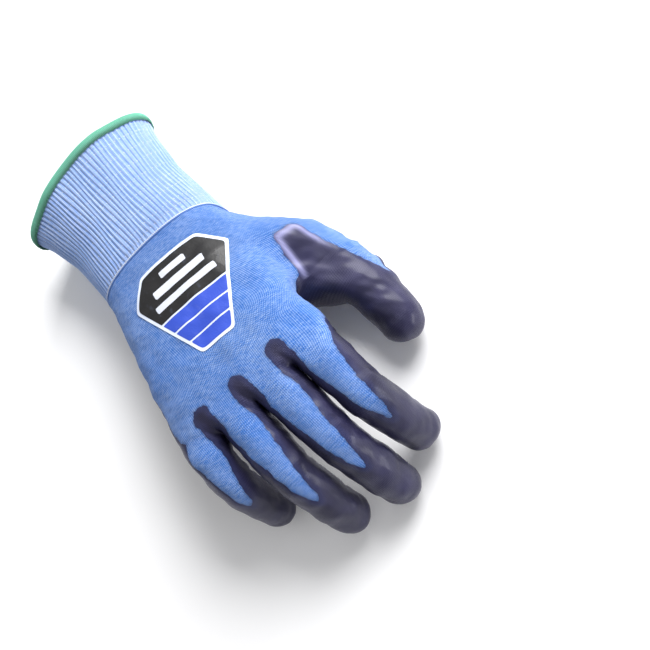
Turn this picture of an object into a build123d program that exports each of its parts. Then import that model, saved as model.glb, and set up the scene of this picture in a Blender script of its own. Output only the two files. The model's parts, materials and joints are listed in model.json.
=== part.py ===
from build123d import *
import os
from math import cos, radians, sin, sqrt

# A knitted, palm-dipped cut resistant glove for a right hand, lying palm down with
# its fingers half curled. Millimetres, +X from the cuff to the fingertips, +Y to the
# thumb side, +Z out of the back of the hand. The knit is a hollow shell all through.
# Each finger stall is cut into tubes at its bends, so that it can curl, and the dipped
# coating, the rim's overlock stitch and the pressed label are pieces of their own.

# ---- driving dimensions ----
KNIT_WALL = 1.2  # knitted liner
COAT = 0.4  # dipped coating on the knit
FILM = 0.15  # one layer of the heat-pressed label
JOINT_GAP = 0.3  # between a tube's end and its bend plane
SEAT_GAP = 0.05  # between pieces that lie on each other without a shared face

PALM_LENGTH = 98.0  # wrist to the crotch of the fingers
PALM_PITCH = 12.3  # degrees that the palm rises towards the knuckles
PALM_COAT_LINE = -2.0  # the coating's edge above the palm's middle plane

CUFF_LENGTH = 61.0
CUFF_PITCH = 2.0  # degrees that the cuff rises away from the wrist
CUFF_COAT_REACH = 28.0  # how far the palm's coating runs on to the cuff
HEM_BAND = 3.6  # how far the overlock stitch reaches along the cuff
HEM_BUILD = 0.9  # thread build-up on each face of the knit
ELASTIC_THREAD = 0.7
ELASTIC_COUNT = 8
ELASTIC_MARGIN = 8.0  # bare cuff at each end of the elastic rings
WRIST_TRAVEL = (15.0, 15.0)  # degrees

# sections of the hand and the cuff: place along the palm or cuff, centre, width, height
PALM_SECTIONS = [(0.0, 0.0, 76.0, 48.0), (34.0, -1.5, 88.0, 45.0), (66.0, -7.0, 92.0, 38.0)]
KNUCKLE_HEIGHT = 30.0  # the hand's height at the palm's end
KNUCKLE_MARGIN = (1.3, 1.6)  # the hand beyond the index stall, and beyond the little stall
CUFF_SECTIONS = [(0.0, 0.0, 76.0, 48.0), (30.0, 0.0, 75.0, 47.0), (CUFF_LENGTH, 0.5, 85.0, 52.0)]

# each finger: gap to the stall before it, drop of its crotch behind the palm's end,
# spread in degrees, half width and half height at the root and at the tip, tube lengths
# from root to knuckle bend, to middle bend, to end bend and to the fingertip, and the
# degrees that each bend is curled at rest
FINGERS = {
    "index": dict(
        gap=0.0, drop=1.0, spread=0.0, root=(11.7, 11.0), tip=(9.8, 8.8), runs=(10.5, 28, 25.5, 23), curl=(23, 41, 12)
    ),
    "middle": dict(
        gap=0.9, drop=0.0, spread=-0.5, root=(11.9, 11.2), tip=(10.0, 9.0), runs=(10.5, 31, 29, 24), curl=(22.5, 34.5, 12)
    ),
    "ring": dict(
        gap=1.1, drop=1.0, spread=-3.0, root=(11.5, 10.8), tip=(9.6, 8.6), runs=(10.5, 29, 27, 23), curl=(21.5, 41, 12)
    ),
    "little": dict(
        gap=1.1, drop=9.0, spread=-8.0, root=(10.4, 9.8), tip=(8.6, 7.8), runs=(10.5, 20, 20, 21), curl=(31, 42.5, 12)
    ),
}
INDEX_EDGE = 37.7  # the index stall's thumb side across the palm
KNUCKLE_TRAVEL = (25.0, 42.0)  # degrees that each bend opens and closes from rest
MIDDLE_TRAVEL = (30.0, 42.0)
END_SHARE = 0.5  # the end bend follows the middle bend by this share
BEND_AXIS_SHARE = 0.2  # bend axis below the tube's centre, as a share of its half height
COAT_LINE_SHARE = 0.35  # the coating's edge above a finger's centre line, as a share

# the thumb's points are along, across and above the palm's plane, and its sizes are the
# half width along its hinges and the half width across them
THUMB_BURIED = (16.0, 21.0, -5.0)  # where its root tube starts, inside the hand
THUMB_BURIED_SIZE = (16.0, 20.0)
THUMB_ROOT = (42.0, 48.5, -12.5)
THUMB_ROOT_SIZE = (15.0, 19.0)
THUMB_KNUCKLE = (63.0, 55.0, -21.3)  # its first bend
THUMB_KNUCKLE_SIZE = (12.8, 15.0)
THUMB_DIRECTION = (0.916, 0.19, -0.352)  # in the palm's own directions
THUMB_TIP_DIRECTION = (0.951, -0.07, -0.32)
THUMB_LENGTHS = (25.0, 32.5)  # first bend to second bend, and on to the tip
THUMB_TIP_SIZE = (10.4, 11.0)
THUMB_SWING_TRAVEL = (20.0, 18.0)  # degrees towards the palm, and outwards
THUMB_BEND_TRAVEL = (40.0, 14.0)
THUMB_BARE_SIDE = (0.0, 0.75, 0.66)  # the side that the coating leaves bare
THUMB_COAT_LINE = 4.5  # the coating's edge from the thumb's centre line, towards that side

LABEL_CENTRE = (46.0, 2.0)
LABEL_TURN = -9.0  # degrees
LABEL_SIZE = (54.0, 60.0)  # along the hand, across the hand
LABEL_BORDER = 1.6
LABEL_SHOULDER = 13.0  # how far from its cuff end the label is widest
LABEL_TOP = 36.0  # width at the cuff end
LABEL_FOOT = 20.0  # width at the finger end
LABEL_PANEL_SHARE = 0.52  # share of the label's length under the dark panel
LABEL_BANDS = 3
LABEL_RULE = 1.0  # bare line between two bands

# ---- directions ----
pitch, cuff_pitch = radians(PALM_PITCH), radians(CUFF_PITCH)
FORWARD = Vector(cos(pitch), 0, sin(pitch))
UP = Vector(-sin(pitch), 0, cos(pitch))
SIDE = Vector(0, 1, 0)
CUFF_AWAY = Vector(-cos(cuff_pitch), 0, sin(cuff_pitch))
WRIST = Vector(0, 0, 0)


def on_palm(x, y, z=0.0):
    """A point given along, across and above the palm's own plane."""
    return WRIST + FORWARD * x + SIDE * y + UP * z


def in_palm(parts):
    """A unit direction given along, across and out of the palm's plane."""
    return (FORWARD * parts[0] + SIDE * parts[1] + UP * parts[2]).normalized()


def turned(direction, axis, degrees):
    """A direction turned about an axis by the right-hand rule."""
    return direction.rotate(Axis((0, 0, 0), tuple(axis)), degrees)


def between(a, b, share):
    """Sizes part of the way from a to b."""
    return tuple(p + (q - p) * share for p, q in zip(a, b))


def keep_side(shape, at, normal, side):
    """The part of a shape on one side of a plane."""
    return split(shape, bisect_by=Plane(origin=at, z_dir=normal), keep=side)


class Bend:
    """Where two tubes meet: a hinge, and the planes that keep the tubes clear of each other."""

    def __init__(self, at, axis, before, after, opens, closes):
        self.at, self.axis = at, axis.normalized()
        self.middle = (before + after).normalized()
        self.over = self.middle.cross(self.axis).normalized()  # the side that opens up when it curls
        self.opens, self.closes = radians(opens / 2), radians(closes / 2)

    def trim(self, shape, before):
        """Cut a tube back on both sides of the hinge, before the bend or after it."""
        way = 1 if before else -1
        for angle, up in ((self.opens, 1), (self.closes, -1)):
            normal = (self.middle * cos(angle) + self.over * sin(angle) * up * way) * way
            shape = keep_side(shape, self.at - normal * JOINT_GAP, normal, Keep.BOTTOM)
        return shape


# ---- tubes ----
OVERRUN = 14.0  # tubes are made this much too long and trimmed at their bends
TIP_STEPS = (0.0, 0.34, 0.62, 0.82, 0.94, 1.0)  # stations of a rounded end, as shares of its length
TIP_FLAT = 0.22  # the last station, as a share of the full size
TIP_ROUNDNESS = 1.05  # length of a rounded end over its half width


def solid_tube(stations, grow=0.0):
    """A solid through oval stations, each (point, along, across, half width, half height)."""
    ovals = [Plane(origin=p, x_dir=s, z_dir=a) * Ellipse(w + grow, h + grow) for p, a, s, w, h in stations]
    return loft(ovals, ruled=True)


def hollow_tube(stations):
    """The knit of a tube that is open at both ends."""
    return solid_tube(stations) - solid_tube(stations, -KNIT_WALL)


def tube_skin(stations):
    """The coating all round a tube."""
    return solid_tube(stations, COAT) - solid_tube(stations)


def straight_stations(start, end, along, across, size_a, size_b):
    """Two stations of a straight tube that runs past both of its bends."""
    return [(start - along * OVERRUN, along, across, *size_a), (end + along * OVERRUN, along, across, *size_b)]


def tip_stations(start, along, across, begin, end, length):
    """Stations of a stall's closed end: straight, then rounded like a quarter circle."""
    dome = end[0] * TIP_ROUNDNESS
    stations = [(start - along * OVERRUN, along, across, *begin)]
    for share in TIP_STEPS:
        rounded = max(sqrt(1 - share * share), TIP_FLAT)
        station = start + along * (length - dome + dome * share)
        stations.append((station, along, across, end[0] * rounded, end[1] * rounded))
    return stations


def tip_knit(stations):
    """The knit of a closed end: its hollow stops short of the fingertip."""
    return solid_tube(stations) - solid_tube(stations[:-2], -KNIT_WALL)


def tip_skin(stations, along):
    """The coating over a closed end."""
    end, *rest = stations[-1]
    return solid_tube([*stations[:-1], (end + along * COAT, *rest)], COAT) - solid_tube(stations)


def rounded_outline(origin, along, y, width, height, grow):
    """A section of the hand or the cuff: a rectangle with fully rounded sides."""
    w, h = width + 2 * grow, height + 2 * grow
    return Plane(origin=origin + SIDE * y, x_dir=SIDE, z_dir=along) * RectangleRounded(w, h, h / 2 - 0.1)


nodes = {}  # node name to shape
hinges = {}  # joint name to its point and axis

# ---- the fingers' places side by side, and the hand's end that carries them ----
edge = INDEX_EDGE
for finger in FINGERS.values():
    edge -= finger["gap"]
    finger["y"] = edge - finger["root"][0]
    edge -= 2 * finger["root"][0]
hand_high, hand_low = INDEX_EDGE + KNUCKLE_MARGIN[0], edge - KNUCKLE_MARGIN[1]
knuckle_section = (PALM_LENGTH, (hand_high + hand_low) / 2, hand_high - hand_low, KNUCKLE_HEIGHT)
HAND_SECTIONS = [*PALM_SECTIONS, knuckle_section]

# ---- the fingers' bends ----
stalls = {}
for name, finger in FINGERS.items():
    spread = radians(finger["spread"])
    across = Vector(-sin(spread), cos(spread), 0)
    way = turned(Vector(cos(spread), sin(spread), 0), across, -PALM_PITCH)
    sizes = [between(finger["root"], finger["tip"], share) for share in (0.0, 0.35, 0.7, 1.0)]
    points, ways, bends = [on_palm(PALM_LENGTH - finger["drop"], finger["y"])], [way], []
    travels = [KNUCKLE_TRAVEL, MIDDLE_TRAVEL, tuple(END_SHARE * t for t in MIDDLE_TRAVEL)]
    for n, travel in enumerate(travels):
        points.append(points[-1] + way * finger["runs"][n])
        after = turned(way, across, finger["curl"][n])
        below = (way + after).normalized().cross(across) * -1
        at = points[-1] + below * (BEND_AXIS_SHARE * sizes[n][1])
        bends.append(Bend(at, across, way, after, *travel))
        way = after
        ways.append(way)
    for joint, bend in zip(("knuckle", "curl", "tip"), bends):
        hinges[f"{name}_{joint}"] = (bend.at, bend.axis)
    stalls[name] = dict(points=points, ways=ways, bends=bends, across=across, sizes=sizes)

# ---- the thumb's bends ----
thumb_along, thumb_tip_along = in_palm(THUMB_DIRECTION), in_palm(THUMB_TIP_DIRECTION)
thumb_across = thumb_tip_along.cross(thumb_along).normalized()  # both bends turn about this
thumb_bare = thumb_along.cross(in_palm(THUMB_BARE_SIDE)).cross(thumb_along).normalized()
thumb_knuckle = on_palm(*THUMB_KNUCKLE)
thumb_middle = thumb_knuckle + thumb_along * THUMB_LENGTHS[0]
swing_in, swing_out = THUMB_SWING_TRAVEL
bend_in, bend_out = THUMB_BEND_TRAVEL
thumb_swing = Bend(thumb_knuckle, thumb_across * -1, thumb_along, thumb_along, swing_out, swing_in)
thumb_bend = Bend(thumb_middle, thumb_across * -1, thumb_along, thumb_tip_along, bend_out, bend_in)
hinges["thumb_swing"] = (thumb_knuckle, thumb_across)
hinges["thumb_bend"] = (thumb_middle, thumb_across)
wrist_bend = Bend(WRIST, SIDE, CUFF_AWAY * -1, FORWARD, *WRIST_TRAVEL)
hinges["wrist_bend"] = (wrist_bend.at, wrist_bend.axis)


def thumb_coat_side(skin):
    """The coated side of a skin round the thumb."""
    return keep_side(skin, thumb_knuckle + thumb_bare * THUMB_COAT_LINE, thumb_bare, Keep.BOTTOM)


# ---- the hand: back, palm and the thumb's root ----
little, ring = FINGERS["little"], FINGERS["ring"]
LITTLE_STEP = (ring["y"] - ring["root"][0] + little["y"] + little["root"][0]) / 2
THUMB_ROOT_TUBE = [
    (on_palm(*THUMB_BURIED), thumb_along, thumb_across, *THUMB_BURIED_SIZE),
    (on_palm(*THUMB_ROOT), thumb_along, thumb_across, *THUMB_ROOT_SIZE),
    (thumb_knuckle, thumb_along, thumb_across, *THUMB_KNUCKLE_SIZE),
    (thumb_knuckle + thumb_along * OVERRUN, thumb_along, thumb_across, *THUMB_KNUCKLE_SIZE),
]


def hand_solid(grow=0.0):
    """The hand as a solid, set back where the little finger starts."""
    body = loft([rounded_outline(on_palm(x, 0), FORWARD, *size, grow) for x, *size in HAND_SECTIONS], ruled=True)
    if grow < 0:
        body = keep_side(body, on_palm(PALM_LENGTH + grow, 0), FORWARD, Keep.BOTTOM)
    corner = Plane(on_palm(PALM_LENGTH - little["drop"] + grow, LITTLE_STEP - grow), x_dir=FORWARD, z_dir=UP)
    reach = (PALM_LENGTH, PALM_LENGTH, PALM_LENGTH)
    return body - corner * Box(*reach, align=(Align.MIN, Align.MAX, Align.CENTER))


hand_outer = hand_solid()
thumb_root_solid = solid_tube(THUMB_ROOT_TUBE)
thumb_root_hollow = solid_tube(THUMB_ROOT_TUBE, -KNIT_WALL)
hand_shell = wrist_bend.trim(hand_outer - hand_solid(-KNIT_WALL) - thumb_root_hollow, before=False)
for stall in stalls.values():
    start, along, size = stall["points"][0], stall["ways"][0], stall["sizes"][0]
    hand_shell -= solid_tube(straight_stations(start, start, along, stall["across"], size, size))
nodes["hand_back_knit"] = keep_side(hand_shell, WRIST, UP, Keep.TOP)
nodes["palm_knit"] = keep_side(hand_shell, WRIST, UP, Keep.BOTTOM)
nodes["thumb_root_knit"] = thumb_swing.trim(thumb_root_solid - thumb_root_hollow - hand_outer, before=True)

coated_hand = hand_solid(COAT + SEAT_GAP)
palm_skin = wrist_bend.trim(hand_solid(COAT) - hand_outer, before=False)
palm_skin = keep_side(palm_skin, on_palm(0, 0, PALM_COAT_LINE), UP, Keep.BOTTOM)
palm_skin -= solid_tube(THUMB_ROOT_TUBE, COAT + SEAT_GAP)
for stall in stalls.values():
    start, along, size = stall["points"][0], stall["ways"][0], stall["sizes"][0]
    palm_skin -= solid_tube(straight_stations(start, start, along, stall["across"], size, size), COAT + SEAT_GAP)
nodes["palm_coating"] = palm_skin
thumb_root_skin = tube_skin(THUMB_ROOT_TUBE) - coated_hand
nodes["thumb_root_coating"] = thumb_coat_side(thumb_swing.trim(thumb_root_skin, before=True))


# ---- the cuff, its coating, its elastic rings and its overlocked rim ----
def cuff_size(x):
    """Centre, width and height of the cuff at a distance from the wrist."""
    for (x0, *a), (x1, *b) in zip(CUFF_SECTIONS, CUFF_SECTIONS[1:]):
        if x <= x1:
            return between(a, b, (x - x0) / (x1 - x0))
    return CUFF_SECTIONS[-1][1:]


def cuff_solid(places, grow):
    """The cuff's outline lofted through places along it, grown outwards."""
    return loft([rounded_outline(WRIST + CUFF_AWAY * x, CUFF_AWAY, *cuff_size(x), grow) for x in places], ruled=True)


def cuff_band(places, outer, inner):
    """A band round the cuff between two growths of its outline."""
    return cuff_solid(places, outer) - cuff_solid(places, inner)


whole_cuff = [x for x, *_ in CUFF_SECTIONS]
nodes["cuff_rib_knit"] = wrist_bend.trim(cuff_band(whole_cuff, 0.0, -KNIT_WALL), before=True)
cuff_skin = wrist_bend.trim(cuff_band((0.0, CUFF_COAT_REACH), COAT, 0.0), before=True)
cuff_skin -= cuff_solid(whole_cuff, 0.0)
nodes["cuff_coating"] = keep_side(cuff_skin, WRIST + Vector(0, 0, PALM_COAT_LINE), Vector(0, 0, 1), Keep.BOTTOM)

rim = CUFF_LENGTH + SEAT_GAP
nodes["cuff_hem_overlock"] = (
    cuff_band((CUFF_LENGTH - HEM_BAND, rim), HEM_BUILD, SEAT_GAP)
    + cuff_band((rim, CUFF_LENGTH + HEM_BUILD), HEM_BUILD, -KNIT_WALL - HEM_BUILD)
    + cuff_band((CUFF_LENGTH - HEM_BAND, rim), -KNIT_WALL - SEAT_GAP, -KNIT_WALL - HEM_BUILD)
)
elastic_pitch = (CUFF_LENGTH - 2 * ELASTIC_MARGIN) / (ELASTIC_COUNT - 1)
elastic_rings = []
for n in range(ELASTIC_COUNT):
    x = ELASTIC_MARGIN + elastic_pitch * n
    places = (x - ELASTIC_THREAD / 2, x + ELASTIC_THREAD / 2)
    elastic_rings.append(cuff_band(places, -KNIT_WALL - SEAT_GAP, -KNIT_WALL - ELASTIC_THREAD))
nodes["cuff_elastic_yarns"] = Part() + elastic_rings

# ---- the fingers: a root tube on the hand and three moving tubes, each with its coating ----
for name, stall in stalls.items():
    points, ways, bends, across, sizes = (stall[k] for k in ("points", "ways", "bends", "across", "sizes"))
    root_tube = [
        (points[0], ways[0], across, *sizes[0]),
        (points[1] + ways[0] * OVERRUN, ways[0], across, *sizes[0]),
    ]
    tubes = [("root", root_tube)]
    for n, label in ((1, "proximal"), (2, "middle")):
        stations = straight_stations(points[n], points[n + 1], ways[n], across, sizes[n - 1], sizes[n])
        tubes.append((label, stations))
    for n, (label, stations) in enumerate(tubes):
        over = ways[n].cross(across)
        line = points[n] + over * (COAT_LINE_SHARE * sizes[n][1])
        knit, skin = hollow_tube(stations), keep_side(tube_skin(stations), line, over, Keep.BOTTOM)
        if label == "root":
            skin -= coated_hand
        else:
            knit, skin = (bends[n - 1].trim(shape, before=False) for shape in (knit, skin))
        nodes[f"{name}_{label}_knit"] = bends[n].trim(knit, before=True)
        nodes[f"{name}_{label}_coating"] = bends[n].trim(skin, before=True)
    stations = tip_stations(points[3], ways[3], across, sizes[2], sizes[3], FINGERS[name]["runs"][3])
    nodes[f"{name}_tip_knit"] = bends[2].trim(tip_knit(stations), before=False)
    nodes[f"{name}_tip_coating"] = bends[2].trim(tip_skin(stations, ways[3]), before=False)

# ---- the thumb: two moving tubes, each with its coating ----
thumb_mid_size = between(THUMB_KNUCKLE_SIZE, THUMB_TIP_SIZE, 0.6)
stations = straight_stations(
    thumb_knuckle, thumb_middle, thumb_along, thumb_across, THUMB_KNUCKLE_SIZE, thumb_mid_size
)
thumb_tube = thumb_swing.trim(hollow_tube(stations), before=False)
thumb_tube_skin = thumb_swing.trim(thumb_coat_side(tube_skin(stations)), before=False)
nodes["thumb_proximal_knit"] = thumb_bend.trim(thumb_tube, before=True)
nodes["thumb_proximal_coating"] = thumb_bend.trim(thumb_tube_skin, before=True)
stations = tip_stations(
    thumb_middle, thumb_tip_along, thumb_across, thumb_mid_size, THUMB_TIP_SIZE, THUMB_LENGTHS[1]
)
nodes["thumb_tip_knit"] = thumb_bend.trim(tip_knit(stations), before=False)
nodes["thumb_tip_coating"] = thumb_bend.trim(tip_skin(stations, thumb_tip_along), before=False)


# ---- the label ----
def label_outline(inset):
    """The label's outline on the palm's plane: shouldered at the cuff, narrow at the fingers."""
    length, width = LABEL_SIZE
    x0, x1 = inset - length / 2, length / 2 - inset
    shoulder = LABEL_SHOULDER - length / 2
    corners = [(x0, LABEL_TOP / 2 - inset / 2), (shoulder, width / 2 - inset), (x1, LABEL_FOOT / 2 - inset / 2)]
    return Polygon(*[(x, -y) for x, y in corners], *reversed(corners), align=None)


def pressed(face, layer):
    """A film that follows the back of the hand, cut to a face; layers count from the knit."""
    low = SEAT_GAP + layer * (FILM + SEAT_GAP)
    place = Plane(on_palm(*LABEL_CENTRE), x_dir=turned(FORWARD, UP, LABEL_TURN), z_dir=UP)
    tool = extrude(place * face, PALM_LENGTH)
    return tool & (hand_solid(low + FILM) - hand_solid(low))


inner_face = label_outline(LABEL_BORDER)
panel_end = LABEL_SIZE[0] * (LABEL_PANEL_SHARE - 0.5)
sheet = 2 * max(LABEL_SIZE)
nodes["label_backing"] = pressed(label_outline(0.0), 0)
nodes["label_dark_panel"] = pressed(inner_face & (Pos(panel_end - sheet / 2, 0) * Rectangle(sheet, sheet)), 1)
band_pitch = (LABEL_SIZE[0] / 2 - LABEL_BORDER - panel_end) / LABEL_BANDS
bands = []
for n in range(LABEL_BANDS):
    middle = panel_end + band_pitch * (n + 0.5) + LABEL_RULE / 2
    bands.append(pressed(inner_face & (Pos(middle, 0) * Rectangle(band_pitch - LABEL_RULE, sheet)), 1))
nodes["label_colour_bands"] = Part() + bands

# ---- stand the glove on z = 0 with its box centred over the origin ----
boxes = [shape.bounding_box() for shape in nodes.values()]
low = Vector(*(min(getattr(box.min, k) for box in boxes) for k in "XYZ"))
high = Vector(*(max(getattr(box.max, k) for box in boxes) for k in "XYZ"))
shift = Vector(-(low.X + high.X) / 2, -(low.Y + high.Y) / 2, -low.Z)

os.makedirs("parts", exist_ok=True)
for name, shape in nodes.items():
    export_step(Part() + [Pos(*shift) * solid for solid in shape.solids()], f"parts/{name}.step")
print(f"{len(nodes)} nodes, box {tuple(round(v, 1) for v in (high - low))}")
for name, (at, axis) in hinges.items():
    print("hinge", name, *(round(v, 4) for v in (*(at + shift), *axis)))
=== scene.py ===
# %% [markdown]
# # A knitted, palm-dipped cut resistant glove
# A right-hand glove: a seamless knit liner, a ribbed elastic cuff, a green overlocked rim,
# a black dip over the palm and fingertips and a heat-pressed label on the back.
# The imported model is loaded first and never touched: it says where each bend is, and the
# cloth made here is laid over it; pieces that ride on a single body are attached to it.

# %% Load the imported frame
import json
from math import cos, pi, radians, sin

import bpy
import numpy as np
from mathutils import Matrix, Vector


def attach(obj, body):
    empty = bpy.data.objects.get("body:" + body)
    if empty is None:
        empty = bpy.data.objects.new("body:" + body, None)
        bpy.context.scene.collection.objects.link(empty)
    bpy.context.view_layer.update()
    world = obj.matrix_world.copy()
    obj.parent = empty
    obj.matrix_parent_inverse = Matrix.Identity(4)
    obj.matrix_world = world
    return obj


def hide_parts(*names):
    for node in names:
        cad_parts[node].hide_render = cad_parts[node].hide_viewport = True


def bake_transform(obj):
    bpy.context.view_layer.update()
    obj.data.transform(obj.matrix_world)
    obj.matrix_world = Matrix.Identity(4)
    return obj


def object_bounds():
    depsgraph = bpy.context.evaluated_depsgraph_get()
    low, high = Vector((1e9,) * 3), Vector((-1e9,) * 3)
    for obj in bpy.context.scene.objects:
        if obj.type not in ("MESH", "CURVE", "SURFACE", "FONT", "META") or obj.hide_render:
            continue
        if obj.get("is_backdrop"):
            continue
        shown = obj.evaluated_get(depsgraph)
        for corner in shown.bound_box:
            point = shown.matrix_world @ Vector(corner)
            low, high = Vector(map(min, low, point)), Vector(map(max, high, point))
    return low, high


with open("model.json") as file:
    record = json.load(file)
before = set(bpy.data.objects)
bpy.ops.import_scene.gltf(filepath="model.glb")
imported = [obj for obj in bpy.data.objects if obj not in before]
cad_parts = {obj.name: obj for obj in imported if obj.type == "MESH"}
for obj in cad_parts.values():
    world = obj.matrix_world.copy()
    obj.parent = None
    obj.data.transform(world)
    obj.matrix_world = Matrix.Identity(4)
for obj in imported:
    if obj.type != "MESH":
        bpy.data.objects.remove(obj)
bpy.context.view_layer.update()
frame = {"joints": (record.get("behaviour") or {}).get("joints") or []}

# %% [markdown]
# ## The hand's own directions
# Lengths below are in millimetres and become metres only when a mesh is made. The palm
# rises a little from the wrist to the knuckles, so it gets three directions of its own:
# forward to the fingers, side to the thumb, and up out of the back of the hand.

# %% Directions and hinges
MM = 0.001
PALM_PITCH = radians(12.3)
CUFF_PITCH = radians(-2.0)
FORWARD = np.array([cos(PALM_PITCH), 0.0, sin(PALM_PITCH)])
UP = np.array([-sin(PALM_PITCH), 0.0, cos(PALM_PITCH)])
SIDE = np.array([0.0, 1.0, 0.0])
PALM_AXES = np.stack([FORWARD, SIDE, UP])
hinges = {j["name"]: (np.array(j["pos_m"]) / MM, np.array(j["axis"])) for j in frame["joints"]}
WRIST = hinges["wrist_bend"][0]


def unit(v):
    """Each row divided by its own length."""
    return v / np.linalg.norm(v, axis=-1, keepdims=True)


def on_palm(x, y, z):
    """Points from their places along, across and above the palm: wrist + x*forward + y*side + z*up."""
    x, y, z = np.broadcast_arrays(x, y, z)
    return WRIST + np.stack([x, y, z], -1) @ PALM_AXES


def in_palm(points):
    """The other way: places along, across and above the palm."""
    return (points - WRIST) @ PALM_AXES.T


def smooth(t):
    """3t^2 - 2t^3 between 0 and 1, flat outside."""
    t = np.clip(t, 0.0, 1.0)
    return t * t * (3 - 2 * t)


def soft_noise(points, size, seed):
    """A sum of 24 sine waves in random directions, about one unit high, with waves about size long."""
    rng = np.random.default_rng(seed)
    waves = unit(rng.normal(size=(24, 3))) * (2 * pi / size) * rng.uniform(0.55, 1.6, (24, 1))
    return np.sin(points @ waves.T + rng.uniform(0, 2 * pi, 24)).sum(-1) / 4.0


print("hinges:", {n: np.round(at, 1).tolist() for n, (at, _) in hinges.items()})

# %% [markdown]
# ## Centre lines
# A finger stall is a tube round a gently bent line. The line starts as straight runs from
# hinge to hinge, and is then averaged over a few millimetres so that cloth has a soft bend
# where the CAD tube has a corner. The hinges lie a fifth of the half height under the line.

# %% Tubes along bent lines
FINGERS = {
    "index": dict(y=26.0, back=1.0, root=(11.7, 11.0), tip=(9.8, 8.8),
                  runs=(10.5, 28.0, 25.5, 23.0), tongue=55.0),
    "middle": dict(y=1.5, back=0.0, root=(11.9, 11.2), tip=(10.0, 9.0),
                   runs=(10.5, 31.0, 29.0, 24.0), tongue=60.0),
    "ring": dict(y=-23.0, back=1.0, root=(11.5, 10.8), tip=(9.6, 8.6),
                 runs=(10.5, 29.0, 27.0, 23.0), tongue=56.0),
    "little": dict(y=-46.0, back=9.0, root=(10.4, 9.8), tip=(8.6, 7.8),
                   runs=(10.5, 20.0, 20.0, 21.0), tongue=40.0),
}
PALM_LENGTH = 98.0
END_CURL = radians(12.0)
HINGE_SHARE = 0.2
STEP = 0.5
OVERRUN = 30.0
BELL_STEPS = 40
TAPER = (0.0, 0.35, 0.7, 1.0)
DOME_SHARE = 1.05


def rounded_line(corners, spread):
    """Straight runs through the corners, sampled every STEP and averaged with a bell of that spread."""
    corners = np.asarray(corners, float)
    first, last = unit(corners[0] - corners[1]), unit(corners[-1] - corners[-2])
    corners = np.vstack([corners[0] + first * OVERRUN, corners[1:-1], corners[-1] + last * OVERRUN])
    lengths = np.concatenate([[0], np.cumsum(np.linalg.norm(np.diff(corners, axis=0), axis=1))])
    at = np.arange(0, lengths[-1], STEP)
    line = np.stack([np.interp(at, lengths, corners[:, k]) for k in range(3)], -1)
    bell = np.exp(-0.5 * (np.arange(-BELL_STEPS, BELL_STEPS + 1) * STEP / spread) ** 2)
    bell /= bell.sum()
    padded = np.vstack([np.repeat(line[:1], BELL_STEPS, 0), line, np.repeat(line[-1:], BELL_STEPS, 0)])
    line = np.stack([np.convolve(padded[:, k], bell, "valid") for k in range(3)], -1)
    return at - OVERRUN, line


class Stall:
    """A closed tube round a line: where a ring sits, which way it faces and how large it is."""

    def __init__(self, corners, across, places, widths, heights, spread=4.0, upright=False):
        self.at, self.line = rounded_line(corners, spread)
        self.across = unit(np.asarray(across, float))
        self.places, self.widths, self.heights = places, widths, heights
        self.length = places[-1]
        self.upright = upright

    def ring(self, s, angles, share):
        """Rings at lengths s: centre + share*(width*cos*across + height*sin*over), one row each. An upright
        stall, the thumb's, has its hinges standing up, so there cos goes with over and sin with across."""
        centre = np.stack([np.interp(s, self.at, self.line[:, k]) for k in range(3)], -1)
        ahead = np.stack([np.interp(s + STEP, self.at, self.line[:, k]) for k in range(3)], -1)
        over = unit(np.cross(ahead - centre, self.across))[:, None]
        w = (np.interp(s, self.places, self.widths) * share)[:, None, None]
        h = (np.interp(s, self.places, self.heights) * share)[:, None, None]
        c, n = np.cos(angles)[None, :, None], np.sin(angles)[None, :, None]
        if self.upright:
            return centre[:, None] - h * c * over + w * n * self.across
        return centre[:, None] + w * c * self.across + h * n * over

    def point(self, s):
        """The centre line at length s."""
        return np.array([np.interp(s, self.at, self.line[:, k]) for k in range(3)])


def turn(v, axis, angle):
    """v turned about a unit axis: v*cos + (axis x v)*sin, for v square to the axis."""
    return v * cos(angle) + np.cross(axis, v) * sin(angle)


def finger_stall(name):
    """The line of one finger through its three hinges, with its half widths along it."""
    spec = FINGERS[name]
    mix = [np.array(spec["root"]) + (np.array(spec["tip"]) - spec["root"]) * t for t in TAPER]
    (a, across), (b, _), (c, _) = (hinges[f"{name}_{k}"] for k in ("knuckle", "curl", "tip"))
    ways = [unit(b - a), unit(c - b)]
    ways = [np.cross(across, UP), *ways, turn(ways[1], across, END_CURL)]
    lifted = [at + HINGE_SHARE * mix[n][1] * unit(np.cross(ways[n] + ways[n + 1], across))
              for n, at in enumerate((a, b, c))]
    runs = spec["runs"]
    root = on_palm(PALM_LENGTH - spec["back"], spec["y"], 0.0)
    corners = [root, *lifted, lifted[2] + unit(ways[3]) * runs[3]]
    ends = np.concatenate([[0], np.cumsum(runs)])
    dome = spec["tip"][0] * DOME_SHARE
    places = [ends[0], ends[1], ends[2], ends[3], ends[4] - dome, ends[4]]
    widths = [mix[0][0], mix[0][0], mix[1][0], mix[2][0], mix[3][0], mix[3][0]]
    heights = [mix[0][1], mix[0][1], mix[1][1], mix[2][1], mix[3][1], mix[3][1]]
    return Stall(corners, across, places, widths, heights)


stalls = {name: finger_stall(name) for name in FINGERS}
for name, stall in stalls.items():
    print(name, "stall", stall.length, "mm, tip at", np.round(stall.point(stall.length), 1))

# %% [markdown]
# ## The thumb
# The thumb starts inside the hand, low on its side, and swells out of it, so its line has
# two more corners before its first hinge.

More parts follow.
